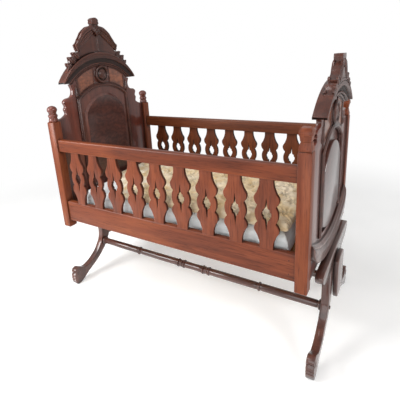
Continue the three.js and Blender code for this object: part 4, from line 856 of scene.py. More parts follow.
# Mouldings round the openings
MOULDING_PROFILE = [
    (1, 0), (1, 3.2), (1.4, 3.7), (3.6, 3.7), (3.8, 5), (4.6, 6.9), (6, 8), (7.8, 8.2), (9.6, 7.6),
    (11.2, 6.2), (12.4, 4.4), (12.9, 3.8), (14.6, 4), (15.6, 4.8), (16.8, 5.1), (17.7, 4.6), (18, 3.6),
    (18, 0),
]
MOULDING_FOOT = ROCKING_HEIGHT - across_at(SILL_RADIUS, OPENING_HALF)
for end_name, end in ENDS.items():
    side = end["side"]
    for where, face, outwards in (("outer", side * BOARD_OUT, side), ("inner", side * BOARD_IN, -side)):
        paths = []
        for margin, proud in MOULDING_PROFILE:
            arch = opening_outline(end, margin)[:ARCH_STEPS + 1]
            half = OPENING_HALF + margin
            paths.append([(half, MOULDING_FOOT), *arch, (-half, MOULDING_FOOT)])
        heights = [face + outwards * (0.3 + proud * 0.97) for _, proud in MOULDING_PROFILE]
        rings = [[(x, *place) for x, place in zip(heights, cut)] for cut in zip(*paths)]
        moulding = loft(f"{end_name}_moulding_{where}.run", rings, moulded_walnut, sharp=30)
        stand(moulding, "cradle")

# Cornices: levels between the fascia's two arcs and below them, with each level's overhang
FASCIA_SHARES = [(0.05, 1), (0.3, 1), (0.34, 0.9), (0.4, 0.9), (0.45, 1), (0.94, 1)]
COVE_LEVELS = [
    (0.8, 0.88), (1.6, 0.5), (4, 0.4), (8, 0.34), (13, 0.32), (17, 0.36), (19, 0.46), (20, 0.58),
    (21.5, 0.64), (23.5, 0.62), (24.8, 0.5), (25.6, 0.24), (27.4, 0.22), (29, 0.34), (31, 0.35), (32.6, 0.28),
    (CORNICE_DEPTH, 0.15),
]
SHADOWED_COVE_STRIPS = range(9, 14)
CORNICE_STEPS = 60
for end_name, end in ENDS.items():
    side = end["side"]

    def below(drop):
        radius = end["lower_radius"] - drop
        half = across_at(radius, end["tip"] - end["lower_centre"])
        return arc(end["lower_centre"], radius, half, -half, CORNICE_STEPS)

    crown = arc(end["upper_centre"], end["upper_radius"], CORNICE_HALF, -CORNICE_HALF, CORNICE_STEPS)
    lip = below(0)

    def between(share):
        return [(a[0] + (b[0] - a[0]) * share, a[1] + (b[1] - a[1]) * share) for a, b in zip(crown, lip)]

    levels = [(crown, 0.93), *[(between(share), out) for share, out in FASCIA_SHARES], (lip, 0.95),
              *[(below(drop), out) for drop, out in COVE_LEVELS]]
    outer = [(ring, BOARD_OUT + share * end["outer"]) for ring, share in levels]
    inner = [(ring, BOARD_IN - share * end["inner"]) for ring, share in reversed(levels)]
    section = [*outer, *inner]
    rings = [[(side * x, *ring[i]) for ring, x in section] for i in range(CORNICE_STEPS + 1)]
    cornice = loft(f"{end_name}_cornice.run", rings, moulded_walnut, sharp=30)
    # The cove under the fascia takes the near-black walnut: painted shadow under the overhang
    cornice.data.materials.append(cove_shadow_walnut)
    for face in cornice.data.polygons:
        strip = face.index % len(section)
        strip = min(strip, len(section) - 2 - strip)
        face.material_index = 1 if strip in SHADOWED_COVE_STRIPS else 0
    stand(cornice, "cradle")

# Crests
CREST_SHARES = {
    "head": [
        (0, 1), (0.054, 0.973), (0.081, 0.9), (0.06, 0.837), (0.134, 0.773), (0.296, 0.73), (0.419, 0.633),
        (0.505, 0.505), (0.602, 0.489), (0.565, 0.371), (0.525, 0.259), (0.565, 0.185), (0.699, 0.241),
        (0.755, 0.199), (0.81, 0.15), (0.882, 0.194), (0.885, 0.077), (0.93, 0.045), (1, 0),
    ],
    "foot": [
        (0, 1), (0.187, 1.017), (0.207, 0.9), (0.18, 0.695), (0.253, 0.591), (0.333, 0.523), (0.387, 0.442),
        (0.427, 0.338), (0.5, 0.301), (0.653, 0.228), (0.64, 0.12), (0.68, 0.086), (0.74, 0.189),
        (0.82, 0.213), (0.85, 0.099), (0.92, 0.064), (1, 0),
    ],
}


def on_crest(end, share_across, share_up):
    """A place on a crest, from its share across and its share up from the cornice."""
    y = share_across * end["crest_half"]
    seat = end["upper_centre"] + across_at(end["upper_radius"] + 0.3, y)
    return y, seat + share_up * (end["crest_rise"] - 0.3)


def frond(spine, widths, base, outwards, lift, across):
    """A small carved leaf on a face: a spine with a width at each point, a sunk midrib, side veins and a
    scalloped edge."""
    steps, columns, lobes, depth = 44, 14, 2, 5
    path = smooth(spine, steps)
    wide = smooth([(w, 0) for w in widths], steps)
    rings = []
    for i, (y, z) in enumerate(path):
        share = i / steps
        before, after = path[max(i - 1, 0)], path[min(i + 1, steps)]
        dy, dz = after[0] - before[0], after[1] - before[1]
        length = math.hypot(dy, dz) or 1
        ny, nz = -dz / length, dy / length
        width = wide[i][0] * (0.82 + 0.18 * abs(math.sin(math.pi * lobes * share)))
        fullness = 0.55 + 0.45 * math.sin(math.pi * min(1, share * 1.3 + 0.12))
        ring = []
        for j in range(columns + 1):
            v = 2 * j / columns - 1
            swell = (1 - v * v) ** 0.6
            midrib = math.exp(-((v / 0.1) ** 2))
            vein = math.cos(math.pi * (2 * lobes * share - 1.6 * abs(v) + 0.5))
            rise = lift * ((0.28 + 0.72 * swell) * fullness - 0.38 * midrib + 0.2 * vein * swell * abs(v))
            ring.append((base + outwards * rise, across * (y + ny * width * v), z + nz * width * v))
        for v in (0.92, 0, -0.92):
            ring.append((base - outwards * depth, across * (y + ny * width * v), z + nz * width * v))
        rings.append(ring)
    return loft("frond", rings, carved_walnut, sharp=62)


def plume(outer_edge, inner_edge, base, outwards, lift, across):
    """A carved leaf that hangs between two edges, fluted along its length, with a hollow where it meets the
    ground and a tip that stands out from it."""
    steps, columns, flutes = 40, 22, 4
    outer, inner = smooth(outer_edge, steps), smooth(inner_edge, steps)
    rings = []
    for i, (a, b) in enumerate(zip(outer, inner)):
        share = i / steps
        ring = []
        for j in range(columns + 1):
            v = j / columns
            swell = math.sin(math.pi * min(max(v, 0.001), 0.999)) ** 0.45
            groove = 0.5 + 0.5 * math.cos(2 * math.pi * flutes * v)
            rise = lift * (0.3 + 0.7 * swell) * (1 - 0.55 * groove * swell)
            rise *= 0.62 + 0.38 * math.sin(math.pi * min(1, 0.2 + share)) + 0.25 * share ** 3
            notch = 2.2 * abs(math.sin(math.pi * 4 * share)) * (1 - v) ** 6
            y, z = a[0] + (b[0] - a[0]) * v - notch, a[1] + (b[1] - a[1]) * v
            ring.append((base + outwards * min(rise, lift), across * y, z))
        ring.append((base - outwards * 4, across * inner[i][0], inner[i][1]))
        ring.append((base - outwards * 4, across * (outer[i][0] - 1), outer[i][1]))
        rings.append(ring)
    return loft("plume", rings, carved_walnut, sharp=50)


def shell_fan(height, reach, spread, ribs, base, outwards, lift):
    """A plain scallop shell: ribs that fan up from a hinge."""
    steps, rows, hinge = 56, 8, 4
    rings = []
    for i in range(steps + 1):
        angle = -spread + 2 * spread * i / steps
        rib = abs(math.cos(math.pi * ribs * (i / steps)))
        ring = []
        for k in range(rows + 1):
            t = k / rows
            radius = hinge + (reach * (0.88 + 0.12 * rib) - hinge) * t
            rise = lift * math.sin(math.pi * min(0.94, 0.25 + 0.72 * t)) * (0.62 + 0.38 * rib)
            ring.append((base + outwards * rise, radius * math.sin(angle), height + radius * math.cos(angle)))
        for radius in (reach * 0.85, 3):
            ring.append((base - outwards * 3, radius * math.sin(angle), height + radius * math.cos(angle)))
        rings.append(ring)
    return loft("shell", rings, carved_walnut, sharp=45)


BEAD_HALF = [(-5.4, -2), (-5.4, 1), (-4.4, 2.2), (-2.8, 2.4), (-1.5, 1.6), (-1, -0.6)]


def bead_pair(low, high, base, outwards):
    """Two upright beads with a dark quirk between them."""
    section = BEAD_HALF + mirrored(BEAD_HALF)
    rings = [[(base + outwards * rise, y, z) for y, rise in section] for z in (low, high)]
    return loft("bead", rings, carved_walnut)


# Half of each crest's carving, in Y and Z over the floor; the other half mirrors it
CARVINGS = {
    "head": {
        "depth": 7, "lift": 7.5,
        "plume": ([(13, 1141), (42, 1137), (70, 1122), (93, 1098), (108, 1077), (123, 1062)],
                  [(15, 1111), (36, 1095), (60, 1077), (80, 1062), (97, 1047), (113, 1034)]),
        "fronds": [
            ([(112, 1004), (122, 1015), (133, 1025), (142, 1029)], (5, 10, 9, 3)),
            ([(134, 986), (146, 996), (156, 1007), (163, 1012)], (5, 11, 9, 3)),
            ([(154, 965), (162, 974), (170, 983), (177, 989)], (5, 10, 9, 3)),
        ],
        "shell": (1094, 50, 0.66, 7), "shell_lift": 9,
    },
    "foot": {
        "depth": 13.5, "lift": 3.5,
        "plume": ([(14, 958), (34, 950), (48, 932), (60, 915), (70, 908)],
                  [(12, 936), (24, 928), (34, 914), (44, 900), (58, 890)]),
        "fronds": [
            ([(70, 888), (80, 895), (90, 903), (98, 905)], (5, 9, 8, 3)),
            ([(98, 876), (108, 880), (118, 884), (126, 884)], (5, 9, 8, 3)),
            ([(122, 866), (130, 868), (138, 871), (145, 872)], (4, 7, 6, 2)),
        ],
        "shell": (928, 30, 0.62, 5), "shell_lift": 3.8,
    },
}
BEAD_SPAN = (1034, 1090)
KNOB_IN, KNOB_OUT = 491, 517
KNOB = [
    (-18, 1146), (-22, 1152), (-19, 1160), (-21, 1166), (-12, 1172), (-4, 1174.5), (6, 1174.5), (14, 1171),
    (20, 1165), (18, 1159), (21, 1152), (17, 1146),
]
for end_name, end in ENDS.items():
    side, work = end["side"], CARVINGS[end_name]
    half = outline_ring([on_crest(end, a, b) for a, b in CREST_SHARES[end_name]])
    seat_radius = end["upper_radius"] + 0.3
    seat = arc(end["upper_centre"], seat_radius, end["crest_half"], -end["crest_half"], 48)[1:-1]
    outline = outline_ring([*half, *seat, *mirrored(half)[:-1]])
    low, high = end["crest_centre"] - work["depth"], end["crest_centre"] + work["depth"]
    carving = [slab("ground", outline, "yz", *sorted((side * low, side * high)), carved_walnut, bevel=1.6)]
    if end_name == "head":
        knob_faces = sorted((side * KNOB_IN, side * KNOB_OUT))
        carving.append(slab("knob", KNOB, "yz", *knob_faces, carved_walnut, bevel=3))
    for base, outwards in ((side * low, -side), (side * high, side)):
        for across in (-1, 1):
            carving.append(plume(*work["plume"], base, outwards, work["lift"], across))
            for spine, widths in work["fronds"]:
                carving.append(frond(spine, widths, base, outwards, work["lift"] * 0.9, across))
        carving.append(shell_fan(*work["shell"], base, outwards, work["shell_lift"]))
        if end_name == "head":
            carving.append(bead_pair(*BEAD_SPAN, base, outwards))
    stand(joined(f"{end_name}_crest.carved", carving), "cradle")

# Rockers: a flat fascia with a cove and a bead above it, following the rolling curve
ROCKER_PROFILE = [
    (0, 0), (18.6, 0), (20, 1.4), (20, 28.6), (19, 30), (13, 38.5), (12, 39.4), (12.2, 40.2), (14.6, 41.6),
    (15.5, 44.2), (14.6, 47), (12, 48.8), (10.6, 50), (9, 51.4), (7.4, 53), (6, 54), (0, 54),
]
NOSE_START, NOSE_HEIGHT = 206, 47
ROCKER_STEPS = 120
for end_name, end in ENDS.items():
    side = end["side"]
    rings = []
    for i in range(ROCKER_STEPS + 1):
        # Each ring is cut square to Y at the ends, where the rocker meets the posts
        share = 2 * i / ROCKER_STEPS - 1
        ring = []
        for x, rise in ROCKER_PROFILE:
            # Towards each end the rocker narrows from below and above into a rounded nose
            y = share * BOARD_HALF
            near = max(0.0, (abs(y) - NOSE_START) / (BOARD_HALF - NOSE_START))
            narrowed = 1 - math.sqrt(max(0.0, 1 - near ** 2.4))
            rise = NOSE_HEIGHT + (rise - NOSE_HEIGHT) * (1 - 0.72 * narrowed)
            radius = ROCKER_RADIUS - rise
            ring.append((side * (BOARD_OUT + 0.3 + x * (1 - 0.35 * narrowed)), y,
                         ROCKING_HEIGHT - across_at(radius, y)))
        rings.append(ring)
    rocker = loft(f"{end_name}_rocker.moulded", rings, rocker_walnut, sharp=30)
    stand(rocker, "cradle")

# Trestles
TRESTLE_IN, TRESTLE_OUT = 520, 546
BAR_HALF, BAR_LOW, BAR_HEIGHT = 217, 272, 60
BAR_SHARES = [(0.88, 1), (0.95, 0.94), (1, 0.78), (0.98, 0.55), (0.9, 0.3), (0.75, 0.12), (0.5, 0)]
LEG_REACH, LEG_HEIGHT = 293, 271.7
LEG_OUTER = [
    (0.355, 1), (0.35, 0.86), (0.342, 0.68), (0.368, 0.54), (0.427, 0.445), (0.495, 0.365),
    (0.614, 0.28), (0.724, 0.235), (0.792, 0.235), (0.853, 0.27), (0.915, 0.302), (0.969, 0.285),
]
LEG_TOE = [
    (0.985, 0.262), (0.99, 0.243), (0.976, 0.213), (0.996, 0.19), (1, 0.165), (0.993, 0.158), (0.993, 0.15),
    (1, 0.143), (1, 0.118), (0.993, 0.111), (0.993, 0.103), (1, 0.096), (0.99, 0.04), (0.976, 0.02),
    (0.952, 0),
]
LEG_INNER = [
    (0.894, 0), (0.819, 0.045), (0.751, 0.09), (0.683, 0.127), (0.614, 0.162), (0.546, 0.2), (0.478, 0.245),
    (0.41, 0.296), (0.341, 0.358), (0.273, 0.442), (0.212, 0.537), (0.171, 0.65), (0.15, 0.8), (0.15, 1),
]
PLATE_IN, PLATE_OUT = 546.3, 562.3
PLATE_HALF, PLATE_LOW, PLATE_HEIGHT = 52, 140, 162
PLATE_SHARES = [
    (0.2, 1), (0.55, 0.985), (0.85, 0.94), (1, 0.84), (1, 0.3), (0.94, 0.14), (0.74, 0.04), (0.42, 0),
]
# A volute's radius and height, from the eye in its middle to the groove round it
VOLUTE = [
    (0.02, 1.5), (2.6, 1.4), (4, 0.9), (5, 0.1), (5.6, -0.6), (6.6, 0.3), (8, 1.2), (9.6, 1.3), (10.8, 0.7),
    (11.4, -0.6), (11.4, -2),
]


def leg_places(shares):
    """Places on a leg's drawing, from shares of its reach and its height."""
    return [(a * LEG_REACH, b * LEG_HEIGHT) for a, b in shares]


for end_name, end in ENDS.items():
    side = end["side"]
    faces = sorted((side * TRESTLE_IN, side * TRESTLE_OUT))
    half = [(a * BAR_HALF, BAR_LOW + b * BAR_HEIGHT) for a, b in BAR_SHARES]
    rounded_end = smooth(half, 28)
    outline = outline_ring([*rounded_end, *mirrored(rounded_end)])
    bar = slab(f"{end_name}_track_bar.shaped", outline, "yz", *faces, bar_walnut, bevel=2)
    stand(bar, "stand")
    for side_name, across in SIDES.items():
        outer, inner = smooth(leg_places(LEG_OUTER), 60), smooth(leg_places(LEG_INNER), 60)
        outline = outline_ring([(across * y, z) for y, z in (*outer, *leg_places(LEG_TOE), *inner)])
        parts = [slab("leg", outline, "yz", *faces, stand_walnut, bevel=1.8)]
        # A volute is carved on both faces of the toe
        for face, outwards in ((faces[0], -1), (faces[1], 1)):
            profile = [(r, outwards * a) for r, a in VOLUTE]
            eye = (face, across * 0.93 * LEG_REACH, 0.2 * LEG_HEIGHT)
            parts.append(turned("volute", profile, eye, "x", stand_walnut, steps=28))
        stand(joined(f"{end_name}_leg_{side_name}.sawn", parts), "stand")
    half = smooth([(a * PLATE_HALF, PLATE_LOW + b * PLATE_HEIGHT) for a, b in PLATE_SHARES], 42)
    faces = sorted((side * PLATE_IN, side * PLATE_OUT))
    outline = outline_ring([*half, *mirrored(half)])
    plate = slab(f"{end_name}_joint_plate.shaped", outline, "yz", *faces, stand_walnut, bevel=3.5, rounds=3)
    stand(plate, "stand")

# Stretchers: rings in pairs near the middle and one further out, a collar against each leg
STRETCHER_PLACE, STRETCHER_LEVEL = 88.5, 132
STRETCHER_HALF = [
    (13.6, 0), (14.2, 30), (14.5, 39), (13.2, 41), (12.6, 42), (14, 43), (17.2, 44.5), (18, 46.8), (17.2, 49),
    (14, 50.6), (12.4, 52), (14, 53.4), (15.4, 55), (15.4, 58), (14, 60), (13, 62), (14, 64), (15.4, 66),
    (15.4, 68), (13.6, 69.4), (12.4, 70.6), (14, 71.6), (17.4, 72.8), (18, 75), (17.2, 77), (14, 78.6),
    (12.8, 80),
    (13.8, 82), (14.5, 86), (14.5, 180), (14.2, 270), (13.8, 284), (12.8, 286.5), (14, 288), (17, 290),
    (18, 293), (17.2, 296), (14, 298), (12.6, 299.5), (13.8, 302), (14.5, 306), (14.5, 420), (13.8, 506),
    (12.6, 509), (13.4, 510.6), (17.6, 512), (19.3, 514.2), (19.5, 516.4), (18.4, 518.6), (15, 519.6),
    (6.5, 519.7), (6.5, 546.3), (6, 548.8), (4, 550), (0.02, 550),
]
for side_name, across in SIDES.items():
    profile = [(r, -x) for r, x in reversed(STRETCHER_HALF)] + STRETCHER_HALF[1:]
    centre = (0, across * STRETCHER_PLACE, STRETCHER_LEVEL)
    rod = turned(f"stretcher_{side_name}.turned", profile, centre, "x", turned_walnut, steps=36)
    stand(rod, "stand")

# The bed base keeps its CAD form, in bare deal
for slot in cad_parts["bed_base"].material_slots:
    slot.material = bed_deal

# Bedding
BED_LOW = 383.6


def pad(name, finish, from_x, to_x, half_y, low, high_at, cell):
    """A closed pad as a fine grid above and below, joined round its sides."""
    columns, rows = round((to_x - from_x) / cell), round(2 * half_y / cell)
    mid_x, half_x = (from_x + to_x) / 2, (to_x - from_x) / 2
    points, faces = [], []

    def spot(i, j, grow):
        """A place on the grid, with the pad's sides drawn in a little at their middle."""
        u, v = 2 * i / columns - 1, 2 * j / rows - 1
        return (mid_x + half_x * u * grow * (1 - 0.012 * (1 - v * v)),
                half_y * v * grow * (1 - 0.012 * (1 - u * u)))

    stride = rows + 1
    low_start = (columns + 1) * stride
    for is_top in (True, False):
        for i in range(columns + 1):
            for j in range(rows + 1):
                x, y = spot(i, j, 0.975)
                points.append((x, y, high_at(x, y) if is_top else low))
    for i in range(columns):
        for j in range(rows):
            a = i * stride + j
            b = a + stride
            faces.append((a, b, b + 1, a + 1))
            faces.append(tuple(low_start + k for k in (a + 1, b + 1, b, a)))
    rim = [(i, 0) for i in range(columns)] + [(columns, j) for j in range(rows)]
    rim += [(i, rows) for i in range(columns, 0, -1)] + [(0, j) for j in range(rows, 0, -1)]
    loops = [[low_start + i * stride + j for i, j in rim]]
    for grow, rise in ((0.992, 0.12), (1, 0.32), (1, 0.68), (0.992, 0.88)):
        loop = []
        for i, j in rim:
            x, y = spot(i, j, grow)
            loop.append(len(points))
            points.append((x, y, low + rise * (high_at(x, y) - low)))
        loops.append(loop)
    loops.append([i * stride + j for i, j in rim])
    for lower, upper in zip(loops, loops[1:]):
        for i in range(len(rim)):
            j = (i + 1) % len(rim)
            faces.append((lower[i], lower[j], upper[j], upper[i]))
    return finished(name, points, faces, finish, sharp=180)


def edge_fall(x, y, from_x, to_x, half_y, reach):
    """1 inside a pad, falling to 0 at its rim."""
    gap = min(x - from_x, to_x - x, half_y - abs(y))
    share = max(0.0, min(1.0, gap / reach))
    return share * share * (3 - 2 * share)


MATTRESS = {"from_x": -450, "to_x": 450, "half_y": 259}
QUILT = {"from_x": -178, "to_x": 449, "half_y": 256}
TUFT_PITCH = 92
HALF_PITCH = TUFT_PITCH / 2


def mattress_top(x, y):
    """The mattress is flat on top and falls a little at its rim."""
    return 462 + 7 * edge_fall(x, y, reach=60, **MATTRESS)


def quilt_top(x, y):
    """The quilt rises in soft squares between the lines of its tufts."""
    wave = math.cos(2 * math.pi * x / TUFT_PITCH) * math.cos(2 * math.pi * y / TUFT_PITCH)
    return 500 + (8 + 3.5 * wave) * edge_fall(x, y, reach=70, **QUILT)


def wrinkled(piece, size, depth, seed):
    """Small irregular puckers pressed into a pad, deeper on its upper face."""
    mesh = piece.data
    normals = [vertex.normal.copy() for vertex in mesh.vertices]
    for vertex, normal in zip(mesh.vertices, normals):
        if normal.z < -0.4:
            continue
        spot = Vector((vertex.co.x + seed, vertex.co.y - seed, vertex.co.z * 0.6)) / (size * MM)
        bend = noise.noise_vector(spot * 0.55) * 0.9
        ridge = 1 - abs(noise.noise(spot + bend)) * 2.4
        fine = noise.noise(spot * 2.7 + bend) * 0.35
        vertex.co += normal * (ridge - 0.5 + fine) * depth * MM
    mesh.update()


def radiating_puckers(piece, depth):
    """Small folds that run out from every tuft of the quilt, as stitching draws the cloth in."""
    for vertex in piece.data.vertices:
        x, y, z = vertex.co / MM
        column, row = round(x / HALF_PITCH), round(y / HALF_PITCH)
        if z < 484 or (column + row) % 2 == 0:
            continue
        dx, dy = x - column * HALF_PITCH, y - row * HALF_PITCH
        reach = math.hypot(dx, dy) / 13
        wander = noise.noise(Vector((x, y, 3)) / 20)
        fold = math.cos(9 * math.atan2(dy, dx) + 3 * wander + column * 2.1 + row)
        vertex.co.z += fold * depth * reach * math.exp(1 - reach) * MM
    piece.data.update()


def pressed_flat(piece, limit, knee=5):
    """Eases the top of a pad down to a height that what lies on it needs."""
    for vertex in piece.data.vertices:
        over = vertex.co.z / MM - (limit - knee)
        if over > 0:
            vertex.co.z = (limit - knee + knee * (1 - math.exp(-over / knee))) * MM
    piece.data.update()


# A thin coverlet lies crumpled on the mattress from the quilt's edge to the head board, cut on a slant
COVERLET_EDGE = [(-252, -206), (-200, -262), (-150, -318), (-90, -380), (-30, -438), (20, -447), (252, -447)]
COVERLET_INNER = -180
COVERLET_HALF = 252
COVERLET_THICKNESS = 0.9


def coverlet_head(y):
    """How far towards the head board the coverlet reaches, at a place across the cradle."""
    for (y0, x0), (y1, x1) in zip(COVERLET_EDGE, COVERLET_EDGE[1:]):
        if y <= y1:
            share = (y - y0) / (y1 - y0)
            return x0 + (x1 - x0) * share
    return COVERLET_EDGE[-1][1]


def coverlet_piece():
    """The coverlet: two layers of a fine grid, crumpled in low ridges that die out at its edges."""
    columns, rows = 84, 130
    points, faces = [], []
    for layer in (0, 1):
        for j in range(rows + 1):
            y = COVERLET_HALF * (2 * j / rows - 1)
            head_x = coverlet_head(y)
            for i in range(columns + 1):
                x = head_x + (COVERLET_INNER - head_x) * i / columns
                inside = edge_fall(x, y, head_x, COVERLET_INNER, COVERLET_HALF, 34)
                spot = Vector((x, y, 0)) / 62
                bend = noise.noise_vector(spot) * 0.8
                ridge = max(0.0, 1 - abs(noise.noise(spot + bend)) * 4)
                fine = abs(noise.noise(spot * 2.6 + bend))
                height = 471.4 + inside * (1.5 + 11 * ridge + 5 * fine)
                points.append((x, y, height - COVERLET_THICKNESS * layer))
    stride, layer_size = columns + 1, (columns + 1) * (rows + 1)
    for j in range(rows):
        for i in range(columns):
            a = j * stride + i
            face = (a, a + 1, a + 1 + stride, a + stride)
            faces += [face, tuple(layer_size + k for k in reversed(face))]
    rim = list(range(columns)) + [j * stride + columns for j in range(rows)]
    rim += [rows * stride + i for i in range(columns, 0, -1)] + [j * stride for j in range(rows, 0, -1)]
    for a, b in zip(rim, rim[1:] + rim[:1]):
        faces.append((a, a + layer_size, b + layer_size, b))
    return finished("coverlet.laid", points, faces, coverlet_cotton, sharp=180)


def applied(piece):
    """Keeps the shape that a piece's modifiers give it, and drops the modifiers."""
    graph = bpy.context.evaluated_depsgraph_get()
    mesh = bpy.data.meshes.new_from_object(piece.evaluated_get(graph))
    piece.modifiers.clear()
    piece.data = mesh
    return mesh


CLOTH_STEPS = 20
# Cotton ticking, weighed in kg for each point, with stiffness in Blender's own units
TICKING = {
    "quality": 5, "mass": 0.25, "tension_stiffness": 18, "compression_stiffness": 14, "shear_stiffness": 6,
    "bending_stiffness": 0.4, "use_pressure": True, "vertex_group_mass": "held",
}


def simulate(pieces):
    """Fills the pads with air as cloth and keeps the shape that they swell to."""
    scene = bpy.context.scene
    starts = {}
    for piece, voxel, held_at, pressure, reach in pieces:
        finish = piece.data.materials[0]
        remesh = piece.modifiers.new("even", "REMESH")
        remesh.mode = "VOXEL"
        remesh.voxel_size = voxel * MM
        remesh.use_smooth_shade = True
        mesh = applied(piece)
        mesh.materials.clear()
        mesh.materials.append(finish)
        starts[piece.name] = [vertex.co.copy() for vertex in mesh.vertices]
        held = piece.vertex_groups.new(name="held")
        held.add([v.index for v in mesh.vertices if held_at(v.co / MM)], 1.0, "REPLACE")
        cloth = piece.modifiers.new("filling", "CLOTH")
        for key, value in TICKING.items():
            setattr(cloth.settings, key, value)
        cloth.settings.uniform_pressure_force = pressure
        cloth.settings.effector_weights.gravity = 0
        cloth.point_cache.frame_start = 1
        cloth.point_cache.frame_end = CLOTH_STEPS
    for step in range(CLOTH_STEPS):
        scene.frame_set(step + 1)
    graph = bpy.context.evaluated_depsgraph_get()
    for piece, voxel, held_at, pressure, reach in pieces:
        swollen = [vertex.co.copy() for vertex in piece.evaluated_get(graph).data.vertices]
        piece.modifiers.clear()
        for vertex, start, end_place in zip(piece.data.vertices, starts[piece.name], swollen):
            move = end_place - start
            if move.length > reach * MM:
                move = move.normalized() * reach * MM
            vertex.co = start + move
        piece.vertex_groups.clear()
        piece.data.update()
    scene.frame_set(1)


def subdivided(piece):
    """Makes a soft piece's mesh finer and smooth."""
    modifier = piece.modifiers.new("finer", "SUBSURF")
    modifier.levels = modifier.render_levels = 1
    applied(piece).shade_smooth()


BUTTON_PITCH_X, BUTTON_PITCH_Y = 150, 130


def mattress_held(spot):
    """The mattress is buttoned on top, channelled down its sides and flat underneath."""
    x, y, z = spot
    if z < BED_LOW + 2:
        return True
    if z > 450:
        column, row = round(x / BUTTON_PITCH_X), round(y / BUTTON_PITCH_Y)
        return math.hypot(x - BUTTON_PITCH_X * column, y - BUTTON_PITCH_Y * row) < 7
    channel = SPLAT_PITCH * (round(x / SPLAT_PITCH - 0.5) + 0.5)
    return abs(y) > 250 and abs(x - channel) < 5


def quilt_held(spot):
    """The quilt is flat underneath and stitched down at its tufts."""
    x, y, z = spot
    if z < 474.5:
        return True
    if z < 490:
        return False
    column, row = round(x / HALF_PITCH), round(y / HALF_PITCH)
    if (column + row) % 2 == 0:
        return False
    return math.hypot(x - column * HALF_PITCH, y - row * HALF_PITCH) < 6.5


mattress = pad("mattress.filled", mattress_cotton, low=BED_LOW, high_at=mattress_top, cell=14, **MATTRESS)
quilt = pad("quilt.puckered", quilt_cotton, low=472.6, high_at=quilt_top, cell=12, **QUILT)
# Each pad with its grid, what holds it, its air pressure and how far it may swell
simulate([
    (mattress, 6, mattress_held, 4.0, 5),
    (quilt, 6, quilt_held, 4.5, 9),
])
subdivided(mattress)
subdivided(quilt)
wrinkled(mattress, size=70, depth=1.2, seed=3.1)
pressed_flat(mattress, limit=470.4)
wrinkled(quilt, size=30, depth=3.4, seed=7.7)
radiating_puckers(quilt, depth=3.6)
coverlet = coverlet_piece()
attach(coverlet, "cradle")
stand(mattress, "cradle")
stand(quilt, "cradle")

# The studio: a pale floor that runs into a white backdrop, soft light from the front left


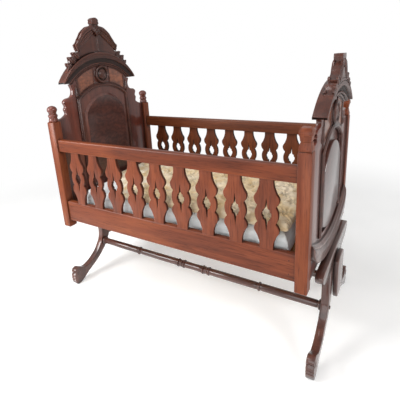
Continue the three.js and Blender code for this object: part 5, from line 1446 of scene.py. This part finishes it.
def floor_paint():
    """Matt pale paint that keeps the soft shadow and turns white away from it."""
    finish, tree = new_finish("matt_studio_paint")
    place = put(tree, "TexCoord").outputs["Object"]
    mottle = put(tree, "TexNoise", {"Scale": 6, "Detail": 3}, {"Vector": place})
    body = put(tree, "ValToRGB", feeds={"Fac": mottle.outputs["Fac"]})
    colour_steps(body, [(0.3, "#e9e9e8"), (0.7, "#efefee")])
    matt = put(tree, "BsdfDiffuse", feeds={"Color": body.outputs["Color"]})
    seen = put(tree, "LightPath")
    # Polished wood mirrors the white paper near the object
    shown = put(tree, "Math", feeds={0: seen.outputs["Is Camera Ray"], 1: seen.outputs["Is Glossy Ray"]},
                operation="MAXIMUM")
    lift = put(tree, "Math", {1: 0.3}, {0: shown.outputs[0]}, operation="MULTIPLY")
    glow = put(tree, "Emission", {"Color": (1, 1, 1, 1)}, {"Strength": lift.outputs[0]})
    both = put(tree, "AddShader", feeds={0: matt.outputs[0], 1: glow.outputs[0]})
    # Away from the object the paper rises into the white backdrop
    reach = put(tree, "VectorMath", feeds={0: place}, operation="LENGTH")
    away = put(tree, "MapRange", {1: 1.1, 2: 2.3, 3: 0.0, 4: 1.0}, {0: reach.outputs["Value"]},
               interpolation_type="SMOOTHSTEP")
    seen_away = put(tree, "Math", feeds={0: away.outputs[0], 1: seen.outputs["Is Camera Ray"]},
                    operation="MULTIPLY")
    white = put(tree, "Emission", {"Color": (1, 1, 1, 1), "Strength": 1.0})
    blended = put(tree, "MixShader", feeds={0: seen_away.outputs[0], 1: both.outputs[0], 2: white.outputs[0]})
    put(tree, "OutputMaterial", feeds={"Surface": blended.outputs[0]})
    return finish


FLOOR_HALF = 20000
floor_corners = [(FLOOR_HALF * x, FLOOR_HALF * y, 0) for x, y in ((-1, -1), (1, -1), (1, 1), (-1, 1))]
floor = finished("floor", floor_corners, [(0, 1, 2, 3)], floor_paint())

world = bpy.data.worlds.new("studio")
bpy.context.scene.world = world
world.use_nodes = True
sky = world.node_tree
sky.nodes.clear()
rays = put(sky, "LightPath")
# A lit room: bright behind the cradle and to its right, dimmer behind the camera
way = put(sky, "TexCoord")
lit_side = put(sky, "VectorMath", {1: (0.45, 0.75, 0.25)}, {0: way.outputs["Generated"]},
               operation="DOT_PRODUCT")
mirrored_room = put(sky, "MapRange", {1: -0.5, 2: 0.5, 3: 0.25, 4: 0.7}, {0: lit_side.outputs["Value"]})
ambient = put(sky, "MapRange", {3: 0.26}, {0: rays.outputs["Is Glossy Ray"], 4: mirrored_room.outputs[0]})
direct = put(sky, "Math", feeds={0: rays.outputs["Is Camera Ray"], 1: rays.outputs["Is Transmission Ray"]},
             operation="MAXIMUM")
strength = put(sky, "Math", feeds={0: direct.outputs[0], 1: ambient.outputs[0]}, operation="MAXIMUM")
air = put(sky, "Background", {"Color": (1, 1, 1, 1)}, {"Strength": strength.outputs[0]})
put(sky, "OutputWorld", feeds={"Surface": air.outputs[0]})


def lamp(name, place, target, size, power):
    """A soft square lamp at a place, turned to a target, both in metres."""
    data = bpy.data.lights.new(name, "AREA")
    data.shape = "SQUARE"
    data.size = size
    data.energy = power
    item = placed(name, data)
    item.location = place
    item.rotation_euler = (Vector(target) - Vector(place)).to_track_quat("-Z", "Y").to_euler()


lamp("left", (-1.2, -1.35, 1.25), (-0.1, 0, 0.5), 0.9, 36)
lamp("front", (0.5, -2.2, 1.05), (0, 0, 0.45), 1.5, 20)
lamp("above", (-0.5, -0.9, 2.6), (0, 0, 0.6), 1.2, 27)
lamp("side", (3.4, -0.6, 1.8), (0, 0, 0.7), 1.4, 66)

bpy.context.scene.view_settings.view_transform = "Standard"
